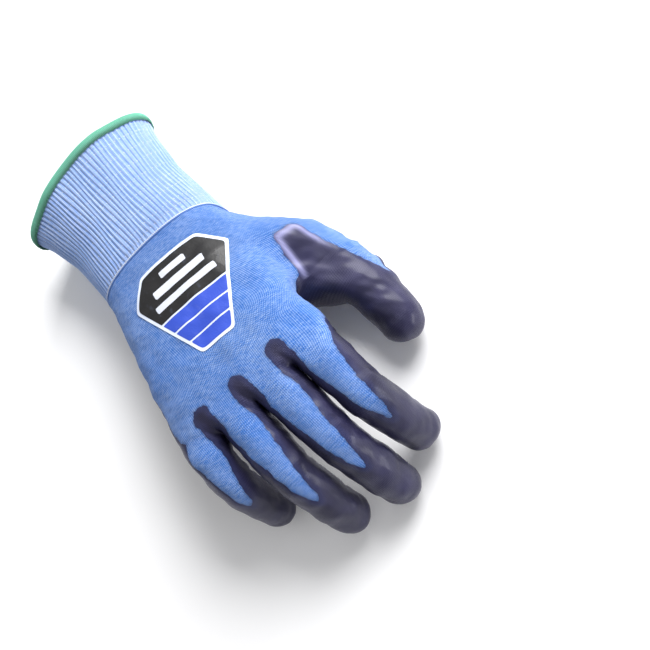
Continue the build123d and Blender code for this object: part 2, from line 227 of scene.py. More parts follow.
# %% The thumb's tube
THUMB_BURIED, THUMB_ROOT = on_palm(16.0, 21.0, -5.0), on_palm(42.0, 48.5, -12.5)
THUMB_RUNS = (25.0, 32.5)
THUMB_NARROWED = 46.0
THUMB_HALF_WIDTHS = [16.0, 15.0, 12.8, 11.4, 10.4, 10.4]
THUMB_HALF_HEIGHTS = [20.0, 19.0, 15.0, 12.6, 11.0, 11.0]
THUMB_SPREAD = 5.0
thumb_knuckle, thumb_across = hinges["thumb_swing"]
thumb_middle = hinges["thumb_bend"][0]
thumb_tip_way = unit(np.array([0.951, -0.07, -0.32]) @ PALM_AXES)
thumb_start = np.linalg.norm(thumb_knuckle - THUMB_ROOT)
thumb_buried_start = thumb_start + np.linalg.norm(THUMB_ROOT - THUMB_BURIED)
thumb_places = thumb_buried_start + np.array(
    [-thumb_buried_start, -thumb_start, 0.0, THUMB_RUNS[0], THUMB_NARROWED, sum(THUMB_RUNS)])
thumb = Stall(
    [THUMB_BURIED, THUMB_ROOT, thumb_knuckle, thumb_middle, thumb_middle + thumb_tip_way * THUMB_RUNS[1]],
    thumb_across,
    thumb_places,
    THUMB_HALF_WIDTHS,
    THUMB_HALF_HEIGHTS,
    THUMB_SPREAD,
    upright=True,
)
print("thumb", round(thumb.length, 1), "mm, tip at", np.round(thumb.point(thumb.length), 1))

# %% [markdown]
# ## The hand's outline
# A knit glove has no cut pieces: five lanes of knitting run up the back and five up the
# palm, and at each crotch a lane leaves the hand and closes into a tube. The mesh copies
# that, one column of faces to a wale of knitting, so the stitches later run as real ones do.
# First the outline: at each place along the hand, a squarish oval melts into the thumb's
# oval, and rays from the middle find where that shape ends.

# %% Outlines of the hand
HAND_PLACES = [0.0, 34.0, 66.0, 98.0]
HAND_MIDDLES = [0.0, -1.5, -7.0, -9.5]
HAND_HALF_WIDTHS = [38.0, 44.0, 46.0, 48.0]
HAND_HALF_HEIGHTS = [24.0, 22.5, 18.5, 12.5]
SQUARENESS = 2.5
MELT = 11.0
RAYS = 720
RAY_STEPS = 150


def hand_size(x):
    """Middle, half width and half height of the hand at a place along it."""
    return (np.interp(x, HAND_PLACES, v) for v in (HAND_MIDDLES, HAND_HALF_WIDTHS, HAND_HALF_HEIGHTS))


thumb_line = in_palm(thumb.line)
thumb_tilt = np.arctan2(thumb_across[1], thumb_across[2])


def outline(places, with_thumb):
    """Each row is a closed outline at one place, from the little finger's side over the back to the
    thumb and round under the palm. A ray ends where the melted pair of ovals changes sign."""
    x = np.asarray(places, float)[:, None, None]
    middle, a, b = hand_size(x)
    angle = (pi - np.arange(RAYS) * 2 * pi / RAYS)[None, :, None]
    reach = np.linspace(85.0, 6.0, RAY_STEPS)[None, None, :]
    y, z = middle + reach * np.cos(angle), reach * np.sin(angle)
    hand = ((np.abs(y - middle) / a) ** SQUARENESS + (np.abs(z) / b) ** SQUARENESS) ** (1 / SQUARENESS)
    field = (hand - 1) * b
    if with_thumb:
        ty, tz = (np.interp(x, thumb_line[:, 0], thumb_line[:, k]) for k in (1, 2))
        length = np.interp(x, thumb_line[:, 0], thumb.at)
        u = (y - ty) * cos(thumb_tilt) - (z - tz) * sin(thumb_tilt)
        v = (y - ty) * sin(thumb_tilt) + (z - tz) * cos(thumb_tilt)
        w, h = np.interp(length, thumb.places, thumb.widths), np.interp(length, thumb.places, thumb.heights)
        oval = (np.sqrt((u / h) ** 2 + (v / w) ** 2) - 1) * w
        near = np.maximum(1 - np.abs(field - oval) / MELT, 0)
        field = np.minimum(field, oval) - near**2 * MELT / 4
    inside = np.argmax(field < 0, axis=2)
    ray, row = np.arange(RAYS)[None, :], np.arange(len(places))[:, None]
    f1, f0 = field[row, ray, inside], field[row, ray, inside - 1]
    flat = reach[0, 0]
    r = flat[inside - 1] + (flat[inside] - flat[inside - 1]) * f0 / (f0 - f1)
    y, z = middle[:, :, 0] + r * np.cos(angle[:, :, 0]), r * np.sin(angle[:, :, 0])
    return np.stack([np.broadcast_to(x[:, :, 0], y.shape), y, z], -1)


def share_out(outlines, knots, columns):
    """Points on each closed outline where its running length meets the wanted shares. knots holds,
    for each row, the shares at the columns listed, and the columns between are spread evenly."""
    closed = np.concatenate([outlines, outlines[:, :1]], 1)
    steps = np.linalg.norm(np.diff(closed, axis=1), axis=2)
    running = np.concatenate([np.zeros((len(closed), 1)), np.cumsum(steps, 1)], 1)
    running /= running[:, -1:]
    wanted = np.arange(columns[-1])
    rows = []
    for line, share, knot in zip(closed, running, knots):
        at = np.interp(wanted, columns, knot)
        rows.append(np.stack([np.interp(at, share, line[:, k]) for k in range(3)], -1))
    return np.array(rows)


# %% [markdown]
# ## Lanes, webs and loops
# The numbers of wales are those of a fine-gauge glove: 25 across each finger's back, 12 in
# each side wall and 34 across the thumb. Points are kept in one list, and each ring of a
# tube is a loop of places in that list, so two tubes that share a web share its points.

# %% The lattice of wales
WALES, WALL, THUMB_WALES = 25, 12, 34
HALF_WALL = WALL // 2
BACK = HALF_WALL + 4 * WALES
THUMB_END = BACK + 2 * THUMB_WALES + WALL
HAND_COLUMNS = 2 * (4 * WALES + THUMB_WALES + WALL)
BODY_COLUMNS = 8 * WALES + 2 * WALL
THUMB_CROTCH = 68.0
CROTCHES = {"index": 103.0, "middle": 102.0, "ring": 99.5, "little": 93.0}
BOUNDARIES = [39.5, 13.75, -10.75, -34.2, -57.5]
COURSE = 1.0
BODY_ROWS = 34
SETTLE_SHARE = 0.55
WEB_AIM, WEB_REACH = np.array([20.0, 0.0]), 24.0
WEB_SAG, THUMB_WEB_SAG = 1.5, 2.0
# numbers that mark the faces of the hand and the thumb; the fingers have 1 to 4
HAND_GROUP, THUMB_GROUP = 0, 5

points, faces, face_uv, face_group = [], [], [], []


def add_points(p):
    """Add a grid of points and return the grid of their places in the list."""
    start = sum(len(q) for q in points)
    points.append(p.reshape(-1, 3))
    return np.arange(start, start + p.shape[0] * p.shape[1]).reshape(p.shape[:2])


def add_loops(ids, group):
    """Faces between a tube's neighbouring rings, facing outwards, with UVs that count wales and courses."""
    a, b = ids[:-1], ids[1:]
    quads = np.stack([a, b, np.roll(b, -1, 1), np.roll(a, -1, 1)], -1)
    row, wale = np.indices(a.shape)
    faces.append(quads.reshape(-1, 4))
    across = np.stack([wale, wale, wale + 1, wale + 1], -1)
    along = np.stack([row, row + 1, row + 1, row], -1)
    face_uv.append(np.stack([across, along], -1).reshape(-1, 4, 2).astype(float))
    face_group.append(np.full(a.size, group))


def seam_place(y):
    """Where the ribbed cuff ends and the hand begins: a line that leans to the thumb side."""
    return 4.5 + 0.1 * y


# the hand from the wrist to the thumb's crotch
row_places = np.arange(0.0, THUMB_CROTCH + 0.1, COURSE)
rings = outline(row_places, True)
last = rings[-1]
thumb_mid = in_palm(thumb.point(np.interp(THUMB_CROTCH, thumb_line[:, 0], thumb.at)))
web_way = unit(thumb_mid[1:] - WEB_AIM)
web_middle = WEB_AIM + web_way * WEB_REACH
web_square = np.array([-web_way[1], web_way[0]])
offset = last[:, 1:] - web_middle
along_web = offset @ web_square
near_web = np.abs(offset @ web_way)
back_ray = np.argmin(np.where(along_web > 0, near_web, 99.0))
palm_ray = np.argmin(np.where(along_web < 0, near_web, 99.0))
closed = np.vstack([last, last[:1]])
running = np.concatenate([[0], np.cumsum(np.linalg.norm(np.diff(closed, axis=0), axis=1))])
running /= running[-1]
hand_knots_at = np.array([0, BACK, THUMB_END, HAND_COLUMNS])
even = hand_knots_at / HAND_COLUMNS
target = np.array([0.0, running[back_ray], running[palm_ray], 1.0])
blend_rows = smooth(row_places / THUMB_CROTCH)[:, None]
hand_rows = share_out(rings, even * (1 - blend_rows) + target * blend_rows, hand_knots_at)

# the first rows lean so that they follow the cuff's seam
lean = seam_place(hand_rows[..., 1]) * (1 - row_places[:, None] / THUMB_CROTCH)
hand_rows[..., 0] += lean
hand = add_points(on_palm(hand_rows[..., 0], hand_rows[..., 1], hand_rows[..., 2]))
add_loops(hand, HAND_GROUP)


def web(a, b, sag):
    """Points of a web's edge between point a and point b, without its ends, bowed by sag."""
    t = (np.arange(1, WALL) / WALL)[:, None]
    pts = np.concatenate(points)
    line = pts[a] * (1 - t) + pts[b] * t + np.asarray(sag) * (4 * t * (1 - t))
    return add_points(line[None])[0]


thumb_back, thumb_palm = hand[-1, BACK], hand[-1, THUMB_END]
thumb_web = web(thumb_back, thumb_palm, -THUMB_WEB_SAG * FORWARD)

# the body of four fingers from the thumb's crotch to the fingers' crotches
body_start = np.concatenate([hand[-1, : BACK + 1], thumb_web, hand[-1, THUMB_END :]])
assert len(body_start) == BODY_COLUMNS
t = np.arange(1, BODY_ROWS + 1)[:, None] / BODY_ROWS
start_flat = in_palm(np.concatenate(points)[body_start])


def crotch_place(y):
    """How far forward the body of the hand reaches at y, smoothly from finger to finger."""
    middles = [FINGERS[n]["y"] for n in ("little", "ring", "middle", "index")]
    ends = [CROTCHES[n] for n in ("little", "ring", "middle", "index")]
    return np.interp(y, middles, ends)


end_outline = outline([PALM_LENGTH], False)[0]
closed = np.vstack([end_outline, end_outline[:1]])
running = np.concatenate([[0], np.cumsum(np.linalg.norm(np.diff(closed, axis=0), axis=1))])
running /= running[-1]
half = RAYS // 2
over = np.interp(BOUNDARIES[::-1], closed[: half + 1, 1], running[: half + 1])
under = np.interp([-y for y in BOUNDARIES], -closed[half:, 1], running[half:])
lane_edges = WALES * np.arange(5)
body_knots_at = np.concatenate([[0], HALF_WALL + lane_edges, BACK + WALL + lane_edges, [BODY_COLUMNS]])
body_end_knots = np.concatenate([[0], over, under, [1.0]])
body_even = body_knots_at / BODY_COLUMNS
places = THUMB_CROTCH + (PALM_LENGTH - THUMB_CROTCH) * t[:, 0]
knots = body_even * (1 - smooth(t)) + body_end_knots * smooth(t)
flat_rows = share_out(outline(places, False), knots, body_knots_at)
reach = crotch_place(flat_rows[..., 1])
flat_rows[..., 0] = start_flat[None, :, 0] + (reach - start_flat[None, :, 0]) * t
settle = smooth(t / SETTLE_SHARE)[..., None]
flat_rows[..., 1:] = (start_flat[None, :, 1:]) * (1 - settle) + flat_rows[..., 1:] * settle
body = np.concatenate([body_start[None], add_points(on_palm(*np.moveaxis(flat_rows, -1, 0)))])
add_loops(body, HAND_GROUP)
print("hand lattice:", hand.shape, "body lattice:", body.shape)

# %% [markdown]
# Each finger's first ring is its share of the hand's last row, closed by the webs beside
# it. From there every ring is a true oval of the stall, and over the first few millimetres
# one shape fades into the other. The tip closes in a dome with a single point at its pole.

# %% Finger tubes and the thumb tube
RING_ANGLE = 2 * pi / (2 * WALES + 2 * WALL)
DOME_RINGS = 15
FADE = 9.0
tubes = {}


def tube_from(loop, stall, start, angles, group, fade=FADE):
    """Rings from a loop of the hand to a closed tip. Along the dome the size falls as a quarter circle."""
    dome = stall.heights[-1] * DOME_SHARE
    straight = np.arange(start + COURSE, stall.length - dome, COURSE)
    swing = np.linspace(0, pi / 2, DOME_RINGS + 1)[:-1]
    s = np.concatenate([straight, stall.length - dome + dome * np.sin(swing)])
    share = np.concatenate([np.ones(len(straight)), np.cos(swing) ** 0.9])
    rings = stall.ring(s, angles, share)
    first = np.concatenate(points)[loop]
    base = stall.ring(np.array([start]), angles, np.ones(1))[0]
    fading = (1 - smooth((s - start) / fade))[:, None, None]
    rings = rings + (first - base)[None] * fading
    ids = np.concatenate([loop[None], add_points(rings)])
    add_loops(ids, group)
    pole = add_points(stall.point(stall.length)[None, None])[0, 0]
    last_ring = ids[-1]
    fan_wale = np.arange(len(last_ring))[:, None]
    at_pole = np.full(len(last_ring), pole)
    fan = np.stack([np.roll(last_ring, -1), last_ring, at_pole, at_pole], -1)
    faces.append(fan)
    fan_uv = [fan_wale + np.array([1, 0, 0.5, 0.5]), np.full(fan.shape, len(ids)) - [1, 1, 0, 0]]
    face_uv.append(np.stack(fan_uv, -1))
    face_group.append(np.full(len(fan), group))
    return ids, np.concatenate([[start], s]), pole


order = ["index", "middle", "ring", "little"]
webs = {}
for n, (a, b) in enumerate(zip(order, order[1:])):
    back = BACK - WALES * (n + 1)
    palm = BACK + WALL + WALES * (n + 1)
    webs[a, b] = web(body[-1, back], body[-1, palm], -WEB_SAG * FORWARD)
for n, name in enumerate(order):
    low, high = BACK - WALES * (n + 1), BACK - WALES * n
    palm_high, palm_low = BACK + WALL + WALES * n, BACK + WALL + WALES * (n + 1)
    inner = body[-1, high + 1 : palm_high] if n == 0 else webs[order[n - 1], name]
    outer = np.roll(body[-1], -(palm_low + 1))[: WALL - 1][::-1] if n == 3 else webs[name, order[n + 1]]
    loop = np.concatenate([body[-1, low : high + 1], inner, body[-1, palm_high : palm_low + 1], outer[::-1]])
    angles = pi / 2 - (np.arange(2 * WALES + 2 * WALL) - WALES / 2) * RING_ANGLE
    begin = CROTCHES[name] - PALM_LENGTH + FINGERS[name]["back"]
    tubes[name] = tube_from(loop, stalls[name], begin, angles, n + 1)

thumb_loop = np.concatenate([hand[-1, BACK : THUMB_END + 1], thumb_web[::-1]])
THUMB_COLUMNS = len(thumb_loop)
web_angle = pi - np.arctan2(-web_way[1], web_way[0])
thumb_angles = web_angle - (np.arange(THUMB_COLUMNS) + HALF_WALL) * 2 * pi / THUMB_COLUMNS
begin = np.interp(THUMB_CROTCH + 1.0, thumb_line[:, 0], thumb.at)

tubes["thumb"] = tube_from(thumb_loop, thumb, begin, thumb_angles, THUMB_GROUP, fade=14.0)
all_points = np.concatenate(points)
all_faces = np.concatenate(faces)
all_uv = np.concatenate(face_uv)
groups = np.concatenate(face_group)
print("liner:", len(all_points), "points,", len(all_faces), "faces")

# %% [markdown]
# ## Rounding the crotches
# Where lanes part, the lattice still has corners. Moving each point part of the way to the
# middle of its neighbours, only near the webs, turns a corner into the soft saddle that
# stretched knitting makes. Further away the step is so small that it only evens the rows.

# %% Smoothing near the webs
ROUNDS, CALM_ROUNDS = 60, 20
CALM, JOIN_FREEDOM = 0.12, 0.8
WEB_SOFTNESS, THUMB_WEB_SOFTNESS = 13.0, 26.0
edges = np.vstack([all_faces[:, [k, (k + 1) % 4]] for k in range(4)])
edges = np.unique(np.sort(edges[edges[:, 0] != edges[:, 1]], axis=1), axis=0)
count = len(all_points)
degree = np.bincount(edges.ravel(), minlength=count)[:, None]


def neighbour_mean(values):
    """The mean of each point's neighbours along the lattice's edges."""
    low, high = edges.T
    total = [np.bincount(low, values[high, k], count) + np.bincount(high, values[low, k], count)
             for k in range(values.shape[1])]
    return np.stack(total, -1) / degree


def near_any(at, reach):
    """1 close to any of the points, falling to 0 at reach."""
    distance = np.min(np.linalg.norm(all_points[:, None] - at[None], axis=2), axis=1)
    return smooth(1.6 * (1 - distance / reach))


web_points = np.concatenate([all_points[ids[::3]] for ids in webs.values()])
thumb_web_points = all_points[thumb_web[::3]]
free = np.maximum(near_any(web_points, WEB_SOFTNESS), near_any(thumb_web_points, THUMB_WEB_SOFTNESS))
join_points = np.concatenate([hand[-10:].ravel(), body[:12].ravel()])
free[join_points] = np.maximum(free[join_points], JOIN_FREEDOM)
calm = np.full(count, CALM)
calm[hand[:3].ravel()] = 0.0
for step in range(ROUNDS):
    share = np.maximum(free, calm if step < CALM_ROUNDS else 0.0)[:, None] * 0.5
    all_points = all_points + (neighbour_mean(all_points) - all_points) * share
print("rounded", int((free > 0.1).sum()), "points near the webs")

# %% [markdown]
# ## Where things are on the glove
# Folds, the dip's edge and the wear all need to know where a point lies: how far along its
# stall, and how far round from the middle of the back. These are kept as plain arrays.

# %% Places along and round each stall
along = np.zeros(count)
arc = np.full(count, 40.0)
under_side = np.zeros(count)
group_of = np.zeros(count, int)
hand_place = in_palm(all_points)
for n, name in enumerate(order):
    ids, s, pole = tubes[name]
    angle = pi / 2 - (np.arange(ids.shape[1]) - WALES / 2) * RING_ANGLE
    lean = np.abs((angle - pi / 2 + pi) % (2 * pi) - pi)
    size = np.interp(s, stalls[name].places, stalls[name].widths)
    along[ids[1:]] = s[1:, None]
    arc[ids[1:]] = lean[None] * size[1:, None]
    under_side[ids[1:]] = smooth(-np.sin(angle) * 1.3)[None]
    group_of[ids[1:]] = n + 1
    along[pole], arc[pole], group_of[pole] = stalls[name].length, 0.0, n + 1
ids, s, pole = tubes["thumb"]
along[ids[1:]] = s[1:, None]
under_side[ids[1:]] = smooth(-np.sin(thumb_angles - 0.5) * 1.3)[None]
group_of[ids[1:]] = THUMB_GROUP
along[pole], group_of[pole] = thumb.length, THUMB_GROUP
hand_length = np.interp(hand_place[:, 0], thumb_line[:, 0], thumb.at)
thumb_length_here = np.where(group_of == THUMB_GROUP, along, hand_length)
thumb_centre = np.stack([np.interp(thumb_length_here, thumb.at, thumb.line[:, k]) for k in range(3)], -1)
from_thumb = all_points - thumb_centre
thumb_out = unit(np.cross(thumb_across, thumb_tip_way))
thumb_angle = np.degrees(np.arctan2(from_thumb @ thumb_across, from_thumb @ thumb_out))

# %% [markdown]
# ## Folds and softness
# Knitting over nothing is never a perfect tube. On the palm side of each bend it gathers
# into cross folds, the pads sit a little proud, and all over it wavers by a few tenths of a
# millimetre. All of it is one number per point, moved along the surface's own direction.

# %% Relief of the cloth
def point_directions(pts, quads):
    """The outward direction of each point: the sum of its faces' directions, made one long."""
    way = np.cross(pts[quads[:, 2]] - pts[quads[:, 0]], pts[quads[:, 3]] - pts[quads[:, 1]])
    total = np.stack([np.bincount(quads.ravel(), np.repeat(way[:, k], 4), len(pts)) for k in range(3)], -1)
    return unit(total + 1e-12)


def bell(x, width):
    """A bump one high: exp(-(x/width)^2)."""
    return np.exp(-((x / width) ** 2))


relief = 0.28 * soft_noise(all_points, 17.0, 3) + 0.1 * soft_noise(all_points, 6.0, 4)
for n, name in enumerate(order):
    ends = np.cumsum(FINGERS[name]["runs"])
    mine = group_of == n + 1
    fold = np.zeros(count)
    for k, depth in enumerate((0.7, 1.3, 0.8)):
        wander = along - ends[k] + 1.2 * np.sin(arc * 0.22 + 2 * k + n)
        fold += depth * (0.5 * bell(wander - 4.6, 2.4) + 0.5 * bell(wander + 4.6, 2.4) - bell(wander, 1.7))
    pad = 0.5 * bell(along - ends[2] - 9.0, 5.0) - 0.45 * bell(along - ends[3] + 5.5 - 0.02 * arc**2, 1.1)
    back_fold = 0.12 * bell(along - ends[1] + 3, 2.0) + 0.12 * bell(along - ends[1] - 3, 2.0)
    relief += mine * (under_side * (fold + pad) + (1 - under_side) * back_fold)
mine = group_of == THUMB_GROUP
bend_at = thumb_buried_start + THUMB_RUNS[0]
wander = along - bend_at + 1.4 * np.sin(np.radians(thumb_angle) * 2)
thumb_fold = 0.9 * bell(wander - 5, 2.6) + 0.9 * bell(wander + 5, 2.6) - 1.2 * bell(wander, 2.0)
relief += mine * under_side * thumb_fold
web_near = near_any(all_points[thumb_web], 20.0)
relief += web_near * 0.5 * np.sin(thumb_angle * 0.12 + hand_place[:, 0] * 0.35)
for ids in webs.values():
    relief += near_any(all_points[ids], 9.0) * 0.25 * np.sin(hand_place[:, 1] * 1.9 + hand_place[:, 2] * 0.9)
palm_side = smooth(-hand_place[:, 2] / 8.0) * (group_of == HAND_GROUP)
relief += palm_side * (0.7 * soft_noise(hand_place * [1.0, 0.45, 1.0], 26.0, 8))
relief[hand[:2].ravel()] *= 0.2
normals = point_directions(all_points, all_faces)
all_points = all_points + normals * relief[:, None]
normals = point_directions(all_points, all_faces)
print("relief from", round(relief.min(), 2), "to", round(relief.max(), 2), "mm")

# %% [markdown]
# ## The edge of the dip
# The glove is dipped on a hand-shaped former, palm down, so the coating climbs each side to
# a line and wraps every fingertip, and leaves a bare tongue on the back of each finger. The
# field below is the distance inside that edge in millimetres: above zero is coated. Stitch
# by stitch the edge creeps along the yarns, so a little noise is added.

# %% The coating's field
TONGUE_HALF_WIDTH = 9.8
LOBE_RADIUS, LOBE_LENGTH = 5.4, 8.0
HOOD_START = 46.5
FAR_OUTSIDE = -9.0
BARE_MIDDLE, BARE_HALF_ANGLE = 20.0, 44.0
x, y, z = hand_place.T
little_line = np.interp(x, [0, 25, 55, 95], [-7.0, -2.5, 4.0, 7.5])
thumb_line_z = np.interp(x, [0, 30, 50, 75], [-9.0, -12.0, -17.0, -12.0])
side = smooth((y + 20) / 40)
palm_coat = little_line * (1 - side) + thumb_line_z * side - z
inner_edge = np.interp(x, [48, 73, 104], [47.5, 41.2, 37.6])
opening = np.interp(thumb_length_here, [thumb_buried_start - 16, bend_at + 4], [0.0, 1.0])
half_strip = BARE_HALF_ANGLE * (1 - np.clip(opening, 0, 1) ** 2.6)
high_angle, low_angle = BARE_MIDDLE + half_strip, BARE_MIDDLE - half_strip
radius = np.hypot(from_thumb @ thumb_across, from_thumb @ thumb_out)
above_bare = np.radians(thumb_angle - high_angle) * radius
below_bare = np.radians(low_angle - thumb_angle) * radius
on_thumb = smooth((x - 28) / 24) * smooth((y - 38) / 8)
palm_coat = palm_coat * (1 - on_thumb) + below_bare * on_thumb
hood = np.minimum(np.minimum(y - inner_edge, above_bare), 0.8 * (x - HOOD_START))
hood = np.where((z > -26) & (x < THUMB_CROTCH + 40), hood, FAR_OUTSIDE)
# A band just inside the coated hood's edge on the hand, where the coating gets a painted highlight.
hood_edge_highlight = bell(hood - 1.5, 1.3) * (group_of == HAND_GROUP) * smooth((74 - x) / 8) * smooth((z + 14) / 10)
lobes = np.full(count, FAR_OUTSIDE)
for ids in webs.values():
    at = in_palm(all_points[ids]).mean(0)
    shift = np.clip(x, at[0] - LOBE_LENGTH, at[0] + 2.0) - x
    lobes = np.maximum(lobes, LOBE_RADIUS - np.hypot(shift, y - at[1]))
coat = np.maximum(palm_coat, hood)
for n, name in enumerate(order):
    share = np.clip(along / FINGERS[name]["tongue"], 0, 1)
    past_end = (along - FINGERS[name]["tongue"]) * 1.5
    finger_coat = np.where(share < 1, arc - TONGUE_HALF_WIDTH * (1 - share**1.6) ** 0.9, past_end + arc)
    coat = np.where(group_of == n + 1, coat + (finger_coat - coat) * smooth(along / 13.0), coat)
coat = np.maximum(coat, lobes)
thumb_coat = np.maximum(above_bare, below_bare)
thumb_coat = np.where(opening < 1, thumb_coat, (along - bend_at - 4) + np.abs(thumb_coat))
coat = np.where(group_of == THUMB_GROUP, thumb_coat, coat)
for step in range(4):
    coat = neighbour_mean(coat[:, None])[:, 0]
coat = coat + 0.2 * soft_noise(all_points, 2.4, 11) + 0.32 * soft_noise(all_points, 9.0, 12)
print("coated share of the points:", round(float((coat > 0).mean()), 2))

# %% [markdown]
# ## Cutting a skin along its edge
# A skin is the lattice's own faces, split in triangles and cut where the field is zero. A
# triangle keeps its shape if all three corners are inside; one corner inside leaves a
# small triangle, and two leave two. New corners lie where the field crosses zero, and each
# edge makes its new corner only once, so the cut skin stays one surface.

# %% Cut a mesh by a field
def cut(quads, uv, field):
    """Triangles inside field > 0 as (corner keys, shares, uv): a corner is at a, or lies between a and b."""
    tri = np.concatenate([quads[:, [0, 1, 2]], quads[:, [0, 2, 3]]])
    tuv = np.concatenate([uv[:, [0, 1, 2]], uv[:, [0, 2, 3]]])
    good = (tri[:, 0] != tri[:, 1]) & (tri[:, 1] != tri[:, 2]) & (tri[:, 2] != tri[:, 0])
    tri, tuv = tri[good], tuv[good]
    inside = field[tri] > 0
    number = inside.sum(1)
    out_a, out_b, out_uv = [tri[number == 3]], [tri[number == 3]], [tuv[number == 3]]
    share = [np.zeros((int((number == 3).sum()), 3))]
    for wanted in (1, 2):
        pick = number == wanted
        t, w = tri[pick], tuv[pick]
        odd = np.argmax(inside[pick] == (wanted == 1), axis=1)
        turn_by = (odd[:, None] + np.arange(3)) % 3
        t = np.take_along_axis(t, turn_by, 1)
        w = np.take_along_axis(w, turn_by[..., None], 1)
        f = field[t]
        s1, s2 = f[:, 0] / (f[:, 0] - f[:, 1]), f[:, 0] / (f[:, 0] - f[:, 2])
        w1 = w[:, 0] + (w[:, 1] - w[:, 0]) * s1[:, None]
        w2 = w[:, 0] + (w[:, 2] - w[:, 0]) * s2[:, None]
        nought = np.zeros(len(t))
        if wanted == 1:
            parts = [((0, 0, 0), (0, 1, 2), (nought, s1, s2), (w[:, 0], w1, w2))]
        else:
            parts = [((0, 1, 2), (1, 1, 2), (s1, nought, nought), (w1, w[:, 1], w[:, 2])),
                     ((0, 2, 0), (1, 2, 2), (s1, nought, s2), (w1, w[:, 2], w2))]
        for a, b, s, uvs in parts:
            out_a.append(t[:, a])
            out_b.append(t[:, b])
            share.append(np.stack(s, -1))
            out_uv.append(np.stack(uvs, 1))
    return tuple(np.concatenate(v) for v in (out_a, out_b, share, out_uv))


def gather(a, b, share, values):
    """Each corner's value: value at a, or part of the way to b."""
    return values[a] * (1 - share[..., None]) + values[b] * share[..., None]


def weld(a, b, share):
    """One place for every different corner, and the corners as places in that list."""
    low, high = np.minimum(a, b), np.maximum(a, b)
    keys = low.astype(np.int64) * (high.max() + 1) + high
    keys = np.where(share == 0, a.astype(np.int64) * (high.max() + 1) + a, keys)
    _, first, inverse = np.unique(keys.ravel(), return_index=True, return_inverse=True)
    return first, inverse.reshape(a.shape)


# %% [markdown]
# ## Making a mesh from arrays
# One function puts points, faces, a UV map and per-point numbers into Blender. The UV map
# counts wales across and courses along, so a stitch is the same size everywhere. The
# outward directions are set from the whole lattice, so that pieces which meet at a ring
# shade as one cloth.

# %% Mesh maker
def make(name, pts, loops, uv, numbers=None, directions=None):
    """A smooth mesh from points in millimetres and arrays of faces, one array to a number of corners."""
    mesh = bpy.data.meshes.new(name)
    mesh.vertices.add(len(pts))
    mesh.vertices.foreach_set("co", (np.asarray(pts) * MM).astype(np.float32).ravel())
    corners = np.concatenate([face.ravel() for face in loops])
    sizes = np.concatenate([np.full(len(face), face.shape[1]) for face in loops])
    mesh.loops.add(len(corners))
    mesh.loops.foreach_set("vertex_index", corners.astype(np.int32))
    mesh.polygons.add(len(sizes))
    mesh.polygons.foreach_set("loop_start", np.concatenate([[0], np.cumsum(sizes)[:-1]]).astype(np.int32))
    flat_uv = np.concatenate([part.reshape(-1, 2) for part in uv])
    mesh.uv_layers.new(name="wales").data.foreach_set("uv", flat_uv.astype(np.float32).ravel())
    for key, values in (numbers or {}).items():
        mesh.attributes.new(key, "FLOAT", "POINT").data.foreach_set("value", values.astype(np.float32))
    mesh.update(calc_edges=True)
    mesh.shade_smooth()
    if directions is not None:
        mesh.normals_split_custom_set_from_vertices(directions.astype(float).tolist())
    obj = bpy.data.objects.new(name, mesh)
    bpy.context.scene.collection.objects.link(obj)
    return obj


# %% [markdown]
# ## Pieces of cloth and where they bend
# Each bend joins two bodies, so the liner is split into pieces that each cross one joint.
# Neighbouring pieces share a ring of points, and that ring must follow one body only.
# A bend is given by a body on each side, a start and an end.

# %% Pieces
BEND_REACH = {"curl": 9.0, "tip": 8.0}
KNUCKLE_REACH = 13.0
THUMB_LANE_START = 38
first_corner = all_faces[:, 0]
face_number = np.arange(len(all_faces))
row, column = np.divmod(face_number, HAND_COLUMNS)
in_lane = (column >= BACK) & (column < THUMB_END) & (row >= THUMB_LANE_START) & (row < len(hand) - 1)
on_hand = (groups == HAND_GROUP) & ~in_lane
liner = {"hand": (on_hand, ["hand"], ["hand_back_knit", "palm_knit"], ["palm_coating"])}
for n, name in enumerate(order):
    ends = np.cumsum(FINGERS[name]["runs"])
    s = along[first_corner]
    cuts = [-1.0, (ends[0] + ends[1]) / 2, (ends[1] + ends[2]) / 2, 999.0]
    bodies = ["hand", f"{name}_proximal", f"{name}_middle", f"{name}_tip"]
    web_reach = hand_place[tubes[name][0][0], 0].max() + 0.3
    knuckle_start = on_palm(web_reach, FINGERS[name]["y"], 0.0)
    knuckle_reach = min(KNUCKLE_REACH, in_palm(stalls[name].point(cuts[1]))[0] - 3.5 - web_reach)
    for k, part in enumerate(("proximal", "middle", "tip")):
        mask = (groups == n + 1) & (s >= cuts[k]) & (s < cuts[k + 1])
        if part == "proximal":
            start, end = knuckle_start, knuckle_start + knuckle_reach * FORWARD
        else:
            run = min(FINGERS[name]["runs"][k], FINGERS[name]["runs"][k + 1])
            reach = min(BEND_REACH[("curl", "tip")[k - 1]], run / 2 - 4.0)
            start, end = stalls[name].point(ends[k] - reach), stalls[name].point(ends[k] + reach)
        extra = ["root"] if part == "proximal" else []
        knits, coats = ([f"{name}_{p}_{kind}" for p in (*extra, part)] for kind in ("knit", "coating"))
        liner[f"{name}_{part}"] = (mask, [bodies[k], bodies[k + 1], start, end], knits, coats)
thumb_face = groups == THUMB_GROUP
thumb_cut = bend_at - 12.0
web_mark = on_palm(68.0, 42.0, -12.0)
THUMB_BLEND_WAY = unit(np.array([0.62, 0.72, -0.30]) @ PALM_AXES)
swing_start = web_mark + THUMB_BLEND_WAY * 1.0
liner["thumb_proximal"] = (
    in_lane | (thumb_face & (along[first_corner] < thumb_cut)),
    ["hand", "thumb_proximal", swing_start, swing_start + THUMB_BLEND_WAY * 15.0],
    ["thumb_root_knit", "thumb_proximal_knit"],
    ["thumb_root_coating", "thumb_proximal_coating"],
)
